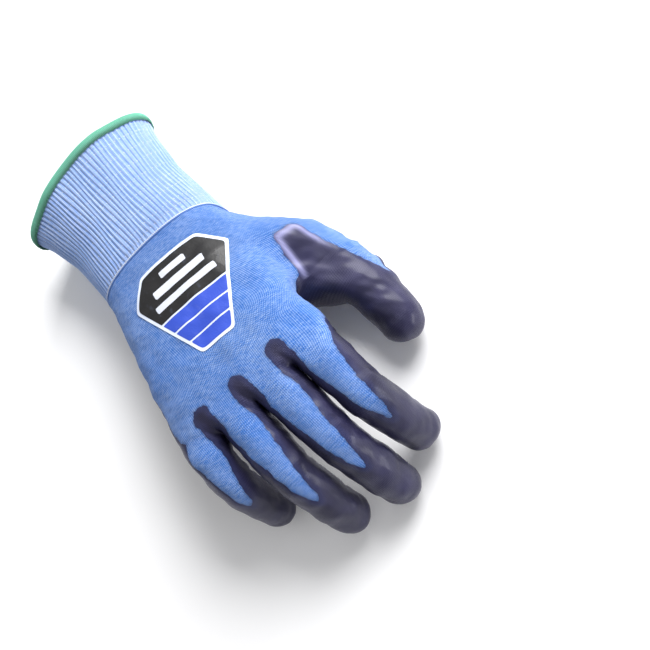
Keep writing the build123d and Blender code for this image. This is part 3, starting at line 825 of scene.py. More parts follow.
liner["thumb_tip"] = (
    thumb_face & (along[first_corner] >= thumb_cut),
    ["thumb_proximal", "thumb_tip", thumb.point(bend_at - 8.0), thumb.point(bend_at + 8.0)],
    ["thumb_tip_knit"],
    ["thumb_tip_coating"],
)


def bend_weight(pts, start, end):
    """How far each point follows the second body: the smooth step of its place from start to end."""
    way = end - start
    return smooth((pts - start) @ way / (way @ way))


used_by = {}
for name, (mask, bend, *_) in liner.items():
    ids = np.unique(all_faces[mask])
    where = np.full(count, np.nan)
    where[ids] = 0.0 if len(bend) == 1 else bend_weight(all_points[ids], *bend[2:])
    used_by[name] = where
joins = [("hand", "thumb_proximal"), ("thumb_proximal", "thumb_tip")]
for n in order:
    joins += [("hand", f"{n}_proximal"), (f"{n}_proximal", f"{n}_middle"), (f"{n}_middle", f"{n}_tip")]
for a, b in joins:
    wa, wb = used_by[a], used_by[b]
    shared = ~np.isnan(wa) & ~np.isnan(wb)
    gap = wb[shared] if a == "hand" else np.maximum(1 - wa[shared], wb[shared])
    print(a, "to", b, "share", int(shared.sum()), "points, largest mismatch", round(float(gap.max()), 3))

# %% [markdown]
# ## Materials: numbers from the shader
# A small class lets shader maths be written as plain expressions. Every operator makes one
# Math node, and numbers may stand on either side.

# %% Shader expressions
class Wave:
    """A number that varies over a surface."""

    def __init__(self, paint, socket):
        self.paint, self.socket = paint, socket

    def do(self, operation, *values):
        """One Math node of these values, in this order."""
        node = self.paint.node("ShaderNodeMath", {"operation": operation}, dict(enumerate(values)))
        return Wave(self.paint, node.outputs[0])

    def __add__(self, other):
        return self.do("ADD", self, other)

    def __radd__(self, other):
        return self.do("ADD", other, self)

    def __sub__(self, other):
        return self.do("SUBTRACT", self, other)

    def __rsub__(self, other):
        return self.do("SUBTRACT", other, self)

    def __mul__(self, other):
        return self.do("MULTIPLY", self, other)

    def __rmul__(self, other):
        return self.do("MULTIPLY", other, self)

    def __truediv__(self, other):
        return self.do("DIVIDE", self, other)

    def __rtruediv__(self, other):
        return self.do("DIVIDE", other, self)

    def __abs__(self):
        return self.do("ABSOLUTE", self)

    def fraction(self):
        """The part after the whole number."""
        return self.do("FRACT", self)

    def sine(self):
        """sin of the number, in radians."""
        return self.do("SINE", self)

    def power(self, other):
        """The number to a power."""
        return self.do("POWER", self, other)

    def rise(self, low, high):
        """0 at low, 1 at high, and straight between."""
        t = (self - low) / (high - low)
        return self.do("MINIMUM", self.do("MAXIMUM", t, 0.0), 1.0)


class Paint:
    """One material: nodes are made with node(), and its surface is a Principled shader."""

    def __init__(self, name):
        self.material = bpy.data.materials.new(name)
        self.material.use_nodes = True
        self.tree = self.material.node_tree
        self.surface = self.tree.nodes["Principled BSDF"]

    def set(self, socket, value):
        """Link a varying value to a socket, or set a plain one on it."""
        if isinstance(value, Wave):
            value = value.socket
        if isinstance(value, bpy.types.NodeSocket):
            self.tree.links.new(value, socket)
        else:
            socket.default_value = value

    def node(self, kind, settings=None, values=None):
        """A node of any kind, with its settings and its sockets' values or links."""
        node = self.tree.nodes.new(kind)
        for key, value in (settings or {}).items():
            setattr(node, key, value)
        for key, value in (values or {}).items():
            self.set(node.inputs[key], value)
        return node

    def look(self, **values):
        """Values for the surface's own sockets, with _ for a space."""
        for key, value in values.items():
            self.set(self.surface.inputs[key.replace("_", " ")], value)

    def uv(self):
        """The two UV numbers: wales across and courses along."""
        wales = self.node("ShaderNodeUVMap", {"uv_map": "wales"}).outputs[0]
        apart = self.node("ShaderNodeSeparateXYZ", {}, {0: wales})
        return Wave(self, apart.outputs[0]), Wave(self, apart.outputs[1])

    def number(self, name):
        """A number kept on the mesh's points."""
        return Wave(self, self.node("ShaderNodeAttribute", {"attribute_name": name}).outputs["Fac"])

    def place(self):
        """The point in the object's own coordinates, in metres."""
        return self.node("ShaderNodeTexCoord").outputs["Object"]

    def vector(self, x, y, z=0.0):
        """Three numbers as one vector."""
        return self.node("ShaderNodeCombineXYZ", {}, {0: x, 1: y, 2: z}).outputs[0]

    def noise(self, vector, scale, detail=2.0):
        """Soft noise from 0 to 1."""
        values = {"Vector": vector, "Scale": scale, "Detail": detail}
        return Wave(self, self.node("ShaderNodeTexNoise", {}, values).outputs[0])

    def mix(self, share, first, second):
        """From the first colour to the second."""
        node = self.node("ShaderNodeMix", {"data_type": "RGBA"}, {"Factor": share, 6: first, 7: second})
        return node.outputs[2]

    def bump(self, height, depth, strength=1.0):
        """The surface's direction after raising it by height times depth, in metres."""
        values = {"Height": height, "Distance": depth, "Strength": strength}
        return self.node("ShaderNodeBump", {}, values).outputs[0]


def rgb(red, green, blue):
    """A colour from three numbers of 0 to 255 as a screen shows them, made linear."""
    shown = [v / 255 for v in (red, green, blue)]
    return (*[v / 12.92 if v < 0.0404 else ((v + 0.055) / 1.055) ** 2.4 for v in shown], 1.0)


# %% [markdown]
# ## Knit
# Stitches are two slanted legs to a wale. The yarn is heather: blue strands twisted with
# white ones, so short pale streaks run along the courses, and the gaps between stitches
# get a painted shade. Where the dip is near, the yarn has soaked some of it up and is darker.

# %% Knit materials
COURSE_TO_WALE = 1.25


def stitches(paint, u, v):
    """Height from 0 to 1: legs that lean away from the middle of each wale, a groove between wales."""
    off_middle = abs(u.fraction() - 0.5)
    leg = 0.5 + 0.5 * ((v * COURSE_TO_WALE + off_middle * 0.9) * 2 * pi).sine()
    groove = 1 - (2 * abs(off_middle - 0.25) * 2).power(2.0)
    return leg * 0.45 + groove * 0.55


def knit_paint(name, groove_shade, main, pale, ribs):
    """Heather knit in three colours: a main one, a pale one and a painted shade for the stitch grooves. With
    ribs, the wales are sunk and raised by the mesh already, and their valleys get the painted shade too.
    """
    paint = Paint(name)
    u, v = paint.uv()
    height = stitches(paint, u, v)
    between = (abs(u.fraction() - 0.5) * 2).power(3.0)
    dots = 0.5 + 0.5 * ((v * COURSE_TO_WALE + 0.5 * u) * 2 * pi).sine()
    streak = paint.noise(paint.vector(u * 0.3, v * 1.6), 1.0, 3.0)
    cloudy = paint.noise(paint.place(), 45.0, 3.0)
    fleck = (streak * 0.7 + cloudy * 0.3).rise(0.42, 0.68)
    # The low parts of each stitch take the groove colour, a painted shade.
    colour = paint.mix(height.rise(0.05, 0.7), groove_shade, main)
    colour = paint.mix(between * (0.35 + 0.65 * dots) * (0.5 + 0.5 * fleck) * 0.95, colour, pale)
    colour = paint.mix(fleck * 0.26, colour, pale)
    soak = paint.number("soak")
    colour = paint.mix(soak * 0.55, colour, rgb(30, 52, 98))
    if ribs:
        # The rib valleys are pulled toward the groove colour as well: painted shade over the mesh's own
        # ribs.
        colour = paint.mix(paint.number("valley") * 0.55, colour, groove_shade)
    fuzz = paint.noise(paint.place(), 2600.0, 3.0)
    paint.look(Base_Color=colour, Roughness=0.82 - 0.15 * fleck, Sheen_Weight=0.25, Sheen_Roughness=0.5,
               Sheen_Tint=rgb(226, 236, 255), Specular_IOR_Level=0.3,
               Normal=paint.bump(height + 0.25 * fuzz, 0.00042, 0.85))
    return paint.material


HAND_BLUE = knit_paint("heather_knit", rgb(8, 58, 138), rgb(30, 108, 196), rgb(196, 216, 246), False)
CUFF_BLUE = knit_paint("heather_rib_knit", rgb(84, 118, 190), rgb(138, 172, 228), rgb(228, 234, 250), True)

# %% [markdown]
# ## Coating
# Polyurethane that has been dipped and drained: nearly black with a violet cast, thin enough
# that the stitches still show through, with painted shade in their grooves, glossier where it
# pooled on the pads and tips. Along the edge of the thumb's hood it carries a painted highlight.

# %% Coating material
def coat_paint():
    """The dip's look."""
    paint = Paint("polyurethane_coating")
    u, v = paint.uv()
    height = stitches(paint, u, v)
    patch = paint.noise(paint.place(), 55.0, 4.0)
    grain = paint.noise(paint.place(), 900.0, 3.0)
    thick = paint.number("thick")
    colour = paint.mix(patch.rise(0.35, 0.7), rgb(15, 14, 32), rgb(34, 32, 60))
    # Darker in the stitch grooves under the coating: painted shade.
    colour = paint.mix((1 - height) * 0.45, colour, rgb(6, 6, 14))
    colour = paint.mix((1 - thick) * 0.5, colour, rgb(30, 40, 84))
    # Pale lavender along the edge of the thumb's hood: a painted highlight.
    colour = paint.mix(paint.number("rim") * (0.25 + 0.6 * patch), colour, rgb(190, 190, 230))
    paint.look(Base_Color=colour, Roughness=0.5 - 0.12 * thick + 0.16 * (patch - 0.5),
               Coat_Weight=0.15 + 0.25 * patch, Coat_Roughness=0.26, Coat_Tint=rgb(222, 221, 255),
               Specular_IOR_Level=0.6, Specular_Tint=rgb(206, 204, 250),
               Normal=paint.bump(height * (1.15 - 0.55 * thick) + 0.35 * grain + 1.2 * patch, 0.00026, 0.8))
    return paint.material


BLACK_COAT = coat_paint()

# %% [markdown]
# ## The liner and its coating
# Now the liner's pieces are made. The coating over each piece is the same faces cut at the
# coating's edge and lifted, from nothing at the edge to its full thickness inside.

# %% Build the liner and the coating
COAT_THICKNESS, COAT_CLEARANCE = 0.34, 0.04
soak = smooth(1 + coat / 1.1)
thickness = smooth(coat / 4.0)


def hinge_up(obj, bend):
    """Ride on one body; a piece that spans two bodies only has its transform baked in place, with no bend.
    """
    if len(bend) == 1:
        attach(obj, bend[0])
    else:
        Vector(bend[2] * MM)
        Vector(bend[3] * MM)
        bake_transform(obj)


for name, (mask, bend, knit_nodes, coat_nodes) in liner.items():
    quads, uv = all_faces[mask], all_uv[mask]
    ids, flat = np.unique(quads, return_inverse=True)
    local = flat.reshape(quads.shape)
    fan = local[:, 2] == local[:, 3]
    loops, corners_uv = [local[~fan], local[fan][:, :3]], [uv[~fan], uv[fan][:, :3]]
    obj = make(f"{name}_liner", all_points[ids], loops, corners_uv, {"soak": soak[ids]}, normals[ids])
    obj.data.materials.append(HAND_BLUE)
    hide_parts(*knit_nodes)
    hinge_up(obj, bend)
    a, b, share, cut_uv = cut(quads, uv, coat)
    first, tri = weld(a, b, share)
    # The last number kept, rim, is the band of painted highlight along the hood's edge.
    kept = (all_points, normals, thickness[:, None], coat[:, None], hood_edge_highlight[:, None])
    at, way, thick, field, rim = (gather(a, b, share, v).reshape(-1, v.shape[1])[first] for v in kept)
    way = unit(way)
    lift = COAT_CLEARANCE + np.minimum(COAT_THICKNESS, 0.45 * np.maximum(field, 0))
    skin = make(f"{name}_coat", at + way * lift, [tri], [cut_uv],
                {"thick": thick[:, 0], "rim": rim[:, 0]}, way)
    skin.data.materials.append(BLACK_COAT)
    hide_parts(*coat_nodes)
    hinge_up(skin, bend)
    print(name, len(quads), "faces of knit,", len(tri), "triangles of coating")

# %% [markdown]
# ## The cuff
# The cuff is a rib knit: 84 ribs that run lengthwise and narrow it to the wrist. Its wall is
# one sheet of mesh that runs from the seam back along the inside, turns at the rim and
# comes forward again outside. Its line turns from the cuff's direction to the palm's.

# %% The cuff's line and its grid
CUFF_LENGTH = 61.0
RIBS, RIB_COLUMNS, CUFF_ROWS = 84, 6, 72
CUFF_WALL = 1.2
CUFF_PLACES, CUFF_MIDDLES = [-61.0, -30.0, 0.0], [0.5, 0.0, 0.0]
CUFF_HALF_WIDTHS, CUFF_HALF_HEIGHTS = [42.5, 37.5, 38.0], [26.0, 23.5, 24.0]
TURN_FROM, TURN_TO = -8.0, 4.0
spine_at = np.arange(-80.0, 20.0, 0.25)
slope = CUFF_PITCH + (PALM_PITCH - CUFF_PITCH) * smooth((spine_at - TURN_FROM) / (TURN_TO - TURN_FROM))
spine = np.cumsum(np.stack([np.cos(slope), 0 * slope, np.sin(slope)], -1), 0) * 0.25
spine += WRIST + TURN_TO * FORWARD - [np.interp(TURN_TO, spine_at, spine[:, k]) for k in range(3)]


def on_cuff(x, y, z):
    """Like on_palm, but along the line that turns at the wrist."""
    centre = np.stack([np.interp(x, spine_at, spine[:, k]) for k in range(3)], -1)
    tilt = np.interp(x, spine_at, slope)
    up = np.stack([-np.sin(tilt), 0 * tilt, np.cos(tilt)], -1)
    return centre + y[..., None] * SIDE + z[..., None] * up


def cuff_grid(t, offset, columns, back=0.0):
    """Points on the cuff, rows t from the rim (0) to the seam (1), raised by offset along the outline's
    own outward direction and moved back in millimetres. The wavy rim reaches furthest behind the back."""
    t = np.asarray(t, float)[:, None]
    base = -CUFF_LENGTH * (1 - t) + seam_place(0.0) * t
    sizes = (CUFF_MIDDLES, CUFF_HALF_WIDTHS, CUFF_HALF_HEIGHTS)
    middle, a, b = (np.interp(base, CUFF_PLACES, v) for v in sizes)
    power = 2 / np.interp(base, [-24.0, 0.0], [2.0, SQUARENESS])
    fine = pi - np.linspace(0, 2 * pi, 1441)[None]
    y = middle + a * np.sign(np.cos(fine)) * np.abs(np.cos(fine)) ** power
    z = b * np.sign(np.sin(fine)) * np.abs(np.sin(fine)) ** power
    running = np.concatenate([np.zeros((len(t), 1)), np.cumsum(np.hypot(np.diff(y), np.diff(z)), 1)], 1)
    wanted = np.arange(columns) / columns
    y, z = (np.stack([np.interp(wanted, r / r[-1], row) for r, row in zip(running, v)]) for v in (y, z))
    ahead_y, ahead_z = (np.roll(v, -1, 1) - np.roll(v, 1, 1) for v in (y, z))
    size = np.hypot(ahead_y, ahead_z)
    out_y, out_z = -ahead_z / size, ahead_y / size
    sway = (0.9 * np.sin(2 * pi * 3 * wanted + 1.0) + 0.5 * np.sin(2 * pi * 7 * wanted)) * (1 - t) ** 2
    flare = 1.6 * smooth((0.22 - t) / 0.22)
    y, z = y + out_y * (offset + sway + flare), z + out_z * (offset + sway + 0.4 * flare)
    rim_reach = 3.4 * np.clip(z / 24.0, 0, 1) ** 2 - 1.2 * np.abs(y / 38.0) ** 2
    rim_reach = rim_reach + 0.4 * np.sin(2 * pi * 5 * wanted)
    x = -CUFF_LENGTH * (1 - t) + (seam_place(y) + 1.2) * t - rim_reach * smooth((0.75 - t) / 0.75) - back
    return on_cuff(x, y, z)


columns = RIBS * RIB_COLUMNS
outer_t = np.linspace(0, 1, CUFF_ROWS)
wander = 0.18 * np.sin(outer_t[:, None] * 9 + np.arange(columns) * 2 * pi / columns * 11)
phase = (np.arange(columns)[None] / RIB_COLUMNS + wander) % 1.0
ridge = np.sin(pi * phase) ** 0.8
rib_depth = 0.85 * (1 - 0.55 * smooth((outer_t - 0.93) / 0.07))[:, None]
tuck = -0.5 * smooth((outer_t - 0.975) / 0.025)[:, None]
outer = cuff_grid(outer_t, (ridge - 0.75) * rib_depth + tuck, columns)
inner = cuff_grid(outer_t[::-1], -CUFF_WALL - 0.35 * ridge[::-1], columns)
cuff_points = np.concatenate([inner, outer])
valley = np.concatenate([1 - ridge[::-1], 1 - ridge])
ids = np.arange(cuff_points.shape[0] * columns).reshape(-1, columns)


def grid_faces(ids, closed=True):
    """Faces between the rows of a grid of places, and their rows and columns as UVs."""
    ahead = np.roll(ids, -1, 1)
    quads = np.stack([ids[:-1], ids[1:], ahead[1:], ahead[:-1]], -1)
    row, col = np.indices(ids[:-1].shape)
    across = np.stack([col, col, col + 1, col + 1], -1)
    uv = np.stack([across, np.stack([row, row + 1, row + 1, row], -1)], -1)
    if not closed:
        quads, uv = quads[:, :-1], uv[:, :-1]
    return quads.reshape(-1, 4), uv.reshape(-1, 4, 2).astype(float)


cuff_quads, cuff_uv = grid_faces(ids)
cuff_uv = cuff_uv * [2.0 / RIB_COLUMNS, 0.95]
cuff_bend = ["hand", "cuff", WRIST + 0.5 * FORWARD, WRIST - 16.0 * FORWARD]
cuff_flat = cuff_points.reshape(-1, 3)
cuff_normals = point_directions(cuff_flat, cuff_quads)
cuff_ahead, cuff_over = [cos(CUFF_PITCH), 0, sin(CUFF_PITCH)], [-sin(CUFF_PITCH), 0, cos(CUFF_PITCH)]
place = (cuff_flat - WRIST) @ np.array([cuff_ahead, SIDE, cuff_over]).T
ragged = 0.5 * soft_noise(cuff_flat, 3.0, 21) + 0.6 * soft_noise(cuff_flat, 9.0, 22)
cuff_field = np.minimum(-9.0 - place[:, 2], place[:, 0] + 27.0 - 15.0 * (place[:, 1] / 36.0) ** 2) + ragged
cuff_field[: inner.shape[0] * columns] = FAR_OUTSIDE
cuff = make("cuff_ribs", cuff_flat, [cuff_quads], [cuff_uv],
            {"soak": smooth(1 + cuff_field / 1.5), "valley": valley.ravel()}, cuff_normals)
cuff.data.materials.append(CUFF_BLUE)
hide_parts("cuff_rib_knit")
hinge_up(cuff, cuff_bend)
a, b, share, cut_uv = cut(cuff_quads, cuff_uv, cuff_field)
first, tri = weld(a, b, share)
kept = (cuff_flat, cuff_normals, cuff_field[:, None])
at, way, field = (gather(a, b, share, v).reshape(-1, v.shape[1])[first] for v in kept)
way = unit(way)
lift = COAT_CLEARANCE + np.minimum(COAT_THICKNESS, 0.3 * np.maximum(field, 0))
skin = make("cuff_coat", at + way * lift, [tri], [cut_uv], {"thick": smooth(field[:, 0] / 6.0)}, way)
skin.data.materials.append(BLACK_COAT)
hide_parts("cuff_coating")
hinge_up(skin, cuff_bend)
print("cuff:", len(cuff_flat), "points, coating", len(tri), "triangles")

# %% [markdown]
# ## Elastic yarns and the seam's lines
# Eight elastic yarns are laid in between the cuff's two faces. At the front of the cuff two
# courses of thicker yarn, one white and one blue, lock the ribs to the hand.

# %% Rings of yarn
YARN_SIDES = 6
ELASTIC_YARNS, ELASTIC_POINTS = 8, 240


def yarn_ring(path, radius, upward):
    """A closed tube round a path: path + radius*(cos*outward + sin*ahead), where ahead is the side way."""
    ahead = unit(np.roll(path, -1, 0) - np.roll(path, 1, 0))
    side_way = unit(np.cross(ahead, upward))
    angle = np.arange(YARN_SIDES) * 2 * pi / YARN_SIDES
    square_way = np.cross(side_way, ahead)
    spread = np.cos(angle)[:, None, None] * side_way + np.sin(angle)[:, None, None] * square_way
    return np.moveaxis(path + radius * spread, 0, 1)


def tube_faces(rings, yarns):
    """Faces of several closed tubes kept one after another, each rings long and YARN_SIDES round."""
    n, i, j = np.meshgrid(np.arange(yarns), np.arange(rings), np.arange(YARN_SIDES), indexing="ij")

    def place_of(ring, side):
        """A point's place in the list. Both counts close on themselves."""
        return (n * rings + ring % rings) * YARN_SIDES + side % YARN_SIDES

    quads = [place_of(i, j), place_of(i, j + 1), place_of(i + 1, j + 1), place_of(i + 1, j)]
    uv = np.stack([np.stack([i, i, i + 1, i + 1], -1) * 0.5, np.stack([j, j + 1, j + 1, j], -1)], -1)
    return np.stack(quads, -1).reshape(-1, 4), uv.reshape(-1, 4, 2).astype(float)


elastic_t = np.linspace(8.0 / CUFF_LENGTH, 1 - 8.0 / CUFF_LENGTH, ELASTIC_YARNS)
elastic_paths = cuff_grid(elastic_t, -0.55, ELASTIC_POINTS)
elastic_points = np.concatenate([
    yarn_ring(path, 0.3, cuff_grid([t], 0.5, ELASTIC_POINTS)[0] - path)
    for t, path in zip(elastic_t, elastic_paths)
])
quads, uv = tube_faces(ELASTIC_POINTS, ELASTIC_YARNS)
elastic = make("elastic_yarns", elastic_points.reshape(-1, 3), [quads], [uv])
seam_paths = [all_points[hand[0]] + normals[hand[0]] * 0.1, all_points[hand[1]] + normals[hand[1]] * 0.2]
seam_points = np.concatenate([yarn_ring(path, 0.42, normals[hand[0]]) for path in seam_paths])
quads, uv = tube_faces(HAND_COLUMNS, 2)
tone = np.repeat([0.0, 1.0], HAND_COLUMNS * YARN_SIDES)
welt = make("cuff_seam_yarns", seam_points.reshape(-1, 3), [quads], [uv], {"tone": tone})


def yarn_paint(name, first, second):
    """Twisted yarn that goes from one colour to another by the tone kept on the mesh."""
    paint = Paint(name)
    u, v = paint.uv()
    ply = 0.5 + 0.5 * ((u * 1.4 + v / YARN_SIDES) * 2 * pi).sine()
    fibre = paint.noise(paint.place(), 1800.0, 3.0)
    shade = paint.mix(paint.number("tone"), first, second)
    # Darker between the plies is painted shade; the fibre noise adds a random tone.
    shade = paint.mix(0.35 * (1 - ply) + 0.2 * fibre, shade, rgb(20, 40, 70))
    paint.look(Base_Color=shade, Roughness=0.62 + 0.2 * fibre, Sheen_Weight=0.2,
               Normal=paint.bump(ply + 0.4 * fibre, 0.0002, 0.8))
    return paint.material


elastic.data.materials.append(yarn_paint("elastic_yarn", rgb(226, 230, 236), rgb(226, 230, 236)))
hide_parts("cuff_elastic_yarns")
hinge_up(elastic, cuff_bend)
welt.data.materials.append(yarn_paint("seam_yarn", rgb(226, 234, 250), rgb(88, 130, 206)))
hinge_up(welt, ["hand"])

# %% [markdown]
# ## The overlocked rim
# An overlock machine wraps the cut edge: about 300 turns of green thread over the rim, each
# ending in a small point on the outside where needle and looper threads cross.

# %% Hem
WRAPS, WRAP_COLUMNS = 300, 5
hem_columns = WRAPS * WRAP_COLUMNS
profile = [(-3.0, -1.3), (-2.2, -1.75), (-1.1, -1.8), (-0.2, -1.6), (0.35, -1.1), (0.55, -0.5),
           (0.35, 0.1), (-0.2, 0.5), (-0.9, 0.68), (-1.8, 0.72),
           (-2.6, 0.66), (-3.2, 0.5), (-3.6, 0.2), (-3.9, -0.3)]
hem_back = np.array([p[0] for p in profile])[:, None]
hem_out = np.array([p[1] for p in profile])[:, None]
steps = np.arange(len(profile))[:, None]
turn_phase = (np.arange(hem_columns)[None] / WRAP_COLUMNS + 0.07 * steps) % 1.0
thread = np.abs(np.sin(pi * turn_phase)) ** 0.7
wrap_number = np.arange(hem_columns) // WRAP_COLUMNS
rng = np.random.default_rng(5)
unevenness = rng.uniform(-0.25, 0.25, WRAPS)[wrap_number]
outer_end = smooth((steps - 9) / 4)
hem_back = hem_back - outer_end * (1.15 * thread * (1 + unevenness) - 0.3)
thread_out = hem_out + 0.5 * (thread - 0.5) * (1 + 0.6 * unevenness)
hem_points = cuff_grid([0.0] * len(profile), thread_out, hem_columns, hem_back)
quads, uv = grid_faces(np.arange(hem_points.shape[0] * hem_columns).reshape(-1, hem_columns))
# The outer side of the rim, where the teeth are, gets a painted shade.
teeth_shade = np.broadcast_to(np.clip((steps - 8) / 5, 0, 1), turn_phase.shape)
hem_flat = hem_points.reshape(-1, 3)
hem = make("overlocked_rim", hem_flat, [quads], [uv],
           {"teeth_shade": teeth_shade.ravel(), "thread": thread.ravel()}, point_directions(hem_flat, quads))
paint = Paint("overlock_thread")
u, v = paint.uv()
fibre = paint.noise(paint.place(), 1500.0, 3.0)
# Each wrap is paler on its crest and darker between wraps: painted light and shade.
colour = paint.mix(paint.number("thread").rise(0.2, 0.9), rgb(14, 96, 74), rgb(104, 206, 174))
# The teeth are darkened further: painted shade.
colour = paint.mix(paint.number("teeth_shade").rise(0.2, 0.7) * 0.9, colour, rgb(10, 104, 76))
colour = paint.mix(fibre * 0.25, colour, rgb(180, 240, 220))
lines = ((u * 1.3 + v * 0.8) * 2 * pi).sine()
paint.look(Base_Color=colour, Roughness=0.55 + 0.2 * fibre, Sheen_Weight=0.15,
           Normal=paint.bump(lines * 0.4 + fibre, 0.00018, 0.8))
hem.data.materials.append(paint.material)
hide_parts("cuff_hem_overlock")
hinge_up(hem, ["cuff"])
print("rim:", WRAPS, "wraps,", len(quads), "faces")

# %% [markdown]
# ## The label
# A thin film pressed on the back: a pale shield, a dark field on it toward the cuff, three
# blue bands toward the fingers and plain pale bars where a label would carry words. Each
# layer is a flat grid cut by a shape's field and laid on the cloth by averaging the height
# of the points around it.

# %% Label
LABEL_CENTRE, LABEL_TURN = (46.0, 2.0), radians(-9.0)
LABEL_LENGTH, LABEL_WIDTH, LABEL_TOP, LABEL_FOOT = 54.0, 60.0, 36.0, 20.0
LABEL_SHOULDER, LABEL_BORDER, PANEL_SHARE, BANDS, RULE = 13.0, 1.6, 0.52, 3, 1.0
GRID = 0.8
front = hand_place[:, 2] > 2
near_label = front & (group_of == HAND_GROUP) & (hand_place[:, 0] > 8) & (hand_place[:, 0] < 82)
cloth = in_palm(all_points)[near_label]


def edge_side(a, c, p, q):
    """Distance inside the line from p to q, for a point at a along and |c| across."""
    way = unit(np.array(q, float) - p)
    return (a - p[0]) * way[1] - (c - p[1]) * way[0]


def shield(a, c, inset):
    """Distance inside the label's outline, with its corners rounded by a soft minimum."""
    c = np.abs(c)
    half = LABEL_LENGTH / 2
    top, foot = (-half, LABEL_TOP / 2), (half, LABEL_FOOT / 2)
    shoulder = (LABEL_SHOULDER - half, LABEL_WIDTH / 2)
    sides = [a + half, half - a, edge_side(a, c, top, shoulder), edge_side(a, c, shoulder, foot)]
    return -np.log(sum(np.exp(-1.6 * (s - inset)) for s in sides)) / 1.6


def strip(a, c, low, high, half_width):
    """Distance inside a rounded bar."""
    return np.minimum(np.minimum(a - low, high - a), half_width - np.abs(c))


steps = np.arange(-32.0, 32.01, GRID)
grid_a, grid_c = np.meshgrid(steps, steps, indexing="ij")
label_x = LABEL_CENTRE[0] + grid_a * cos(LABEL_TURN) - grid_c * sin(LABEL_TURN)
label_y = LABEL_CENTRE[1] + grid_a * sin(LABEL_TURN) + grid_c * cos(LABEL_TURN)
flat_at = np.stack([label_x.ravel(), label_y.ravel()], -1)
label_z = np.zeros(len(flat_at))
for chunk in np.array_split(np.arange(len(flat_at)), 12):
    distance = ((flat_at[chunk, None] - cloth[None, :, :2]) ** 2).sum(2)
    weight = np.exp(-distance / 1.3**2) + 1e-30
    label_z[chunk] = (weight * cloth[None, :, 2]).sum(1) / weight.sum(1)
label_ids = np.arange(grid_a.size).reshape(grid_a.shape)
label_quads, label_uv = grid_faces(label_ids, closed=False)
a, c = grid_a.ravel(), grid_c.ravel()
panel_end = LABEL_LENGTH * (PANEL_SHARE - 0.5)
inside = shield(a, c, LABEL_BORDER)
band_pitch = (LABEL_LENGTH / 2 - LABEL_BORDER - panel_end) / BANDS
band_fields = [
    strip(a, c, panel_end + RULE + n * band_pitch, panel_end + (n + 1) * band_pitch, 40.0)
    for n in range(BANDS)
]
band_field = np.minimum(inside, np.max(band_fields, axis=0))
panel_field = np.minimum(inside, panel_end - a)
bars = [(-21.5, -18.0, 8.0), (-14.8, -10.6, 16.0), (-7.4, -4.0, 19.0)]
bar_field = np.max([strip(a, c, *bar) for bar in bars], axis=0)
layers = {
    "label_backing": (shield(a, c, 0.0), 0.42, rgb(214, 222, 240), "label_backing", "label_border"),
    "label_panel": (panel_field, 0.54, rgb(20, 19, 21), "label_dark_panel", "label_panel"),
    "label_bands": (band_field, 0.54, rgb(44, 74, 186), "label_colour_bands", "label_bands"),
    "label_bars": (np.minimum(bar_field, inside - 0.8), 0.62, rgb(206, 210, 222), None, "label_border"),
}
for name, (field, lift, colour, node, slot_name) in layers.items():
    pts = on_palm(label_x.ravel(), label_y.ravel(), label_z + lift)
    ka, kb, share, cut_uv = cut(label_quads, label_uv, field)
    first, tri = weld(ka, kb, share)
    at = gather(ka, kb, share, pts).reshape(-1, 3)[first]
    film = make(name, at, [tri], [cut_uv])
    paint = Paint(name + "_film")
    scuff = paint.noise(paint.place(), 240.0, 4.0)
    grain = paint.noise(paint.place(), 1100.0, 2.0)
    shade = paint.mix(scuff.rise(0.6, 0.85) * 0.12, colour, rgb(150, 165, 205))
    paint.look(Base_Color=shade, Roughness=0.42 + 0.2 * scuff, Coat_Weight=0.1,
               Normal=paint.bump(scuff + 0.6 * grain, 0.00022, 0.7))
    film.data.materials.append(paint.material)
    if node:
        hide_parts(node)
    hinge_up(film, ["hand"])
print("label layers:", len(layers))

# %% [markdown]
# ## Floor, light and camera
# A pale floor, a large soft light above the thumb side, a weaker one from the little
# finger's side, and a long lens that looks down on the back of the glove, rolled.

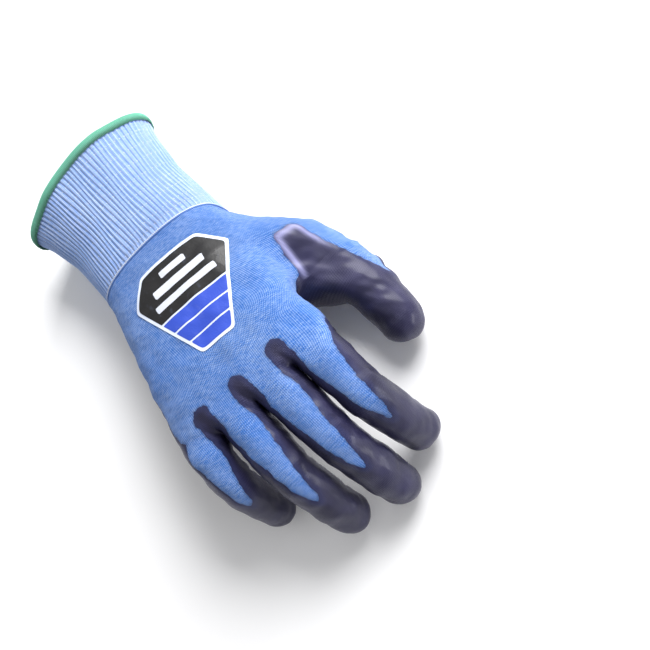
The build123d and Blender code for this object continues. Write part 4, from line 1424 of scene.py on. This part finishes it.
# %% Stage
FLOOR_SIZE = 4.0
floor_mesh = bpy.data.meshes.new("floor")
half = FLOOR_SIZE / 2
floor_corners = [(-half, -half, 0), (half, -half, 0), (half, half, 0), (-half, half, 0)]
floor_mesh.from_pydata(floor_corners, [], [(0, 1, 2, 3)])
floor = bpy.data.objects.new("floor", floor_mesh)
bpy.context.scene.collection.objects.link(floor)
floor.location.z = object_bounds()[0][2] - 0.0004
paint = Paint("floor")
paint.look(Base_Color=rgb(252, 252, 253), Roughness=0.7, Specular_IOR_Level=0.1)
floor_mesh.materials.append(paint.material)
floor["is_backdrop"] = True

world = bpy.data.worlds.new("studio")
world.use_nodes = True
world.node_tree.nodes["Background"].inputs[0].default_value = (1.0, 1.0, 1.0, 1.0)
world.node_tree.nodes["Background"].inputs[1].default_value = 0.5
bpy.context.scene.world = world

LOOK_AT = Vector((WRIST + np.array([20.0, 0.0, 6.0])) * MM)
RIGHT = Vector((0.634, 0.634, -0.443))
TOP = Vector((-0.653, 0.746, 0.132))
BACKWARD = Vector((0.414, 0.206, 0.887))


def lamp(name, place, size, watts, colour):
    """A square area light at a place in metres, facing the glove."""
    light = bpy.data.lights.new(name, "AREA")
    light.size, light.energy, light.color = size, watts, colour
    obj = bpy.data.objects.new(name, light)
    obj.location = place
    obj.rotation_euler = (Vector(place) - LOOK_AT).to_track_quat("Z", "Y").to_euler()
    bpy.context.scene.collection.objects.link(obj)


lamp("key", LOOK_AT + TOP * 0.75 + BACKWARD * 0.55, 0.6, 16.0, (1.0, 1.0, 1.0))
lamp("side", LOOK_AT + RIGHT * 0.8 + BACKWARD * 0.4, 0.4, 5.0, (0.94, 0.95, 1.0))

CAMERA_DISTANCE = 0.7665
camera = bpy.data.objects.new("camera", bpy.data.cameras.new("camera"))
bpy.context.scene.collection.objects.link(camera)
turned = Matrix((RIGHT, TOP, BACKWARD)).transposed().to_4x4()
camera.matrix_world = Matrix.Translation(LOOK_AT + BACKWARD * CAMERA_DISTANCE) @ turned
camera.data.lens, camera.data.sensor_width = 85.0, 36.0
camera.data.shift_x, camera.data.shift_y = 0.216, -0.072
bpy.context.scene.camera = camera
bpy.context.scene.view_settings.view_transform = "Standard"

# %% [markdown]
# ## Sizes, and done
# The size of what is shown is printed.

# %% Finish
low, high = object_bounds()
print("shown box, metres:", [round(v, 4) for v in (*low, *high)])
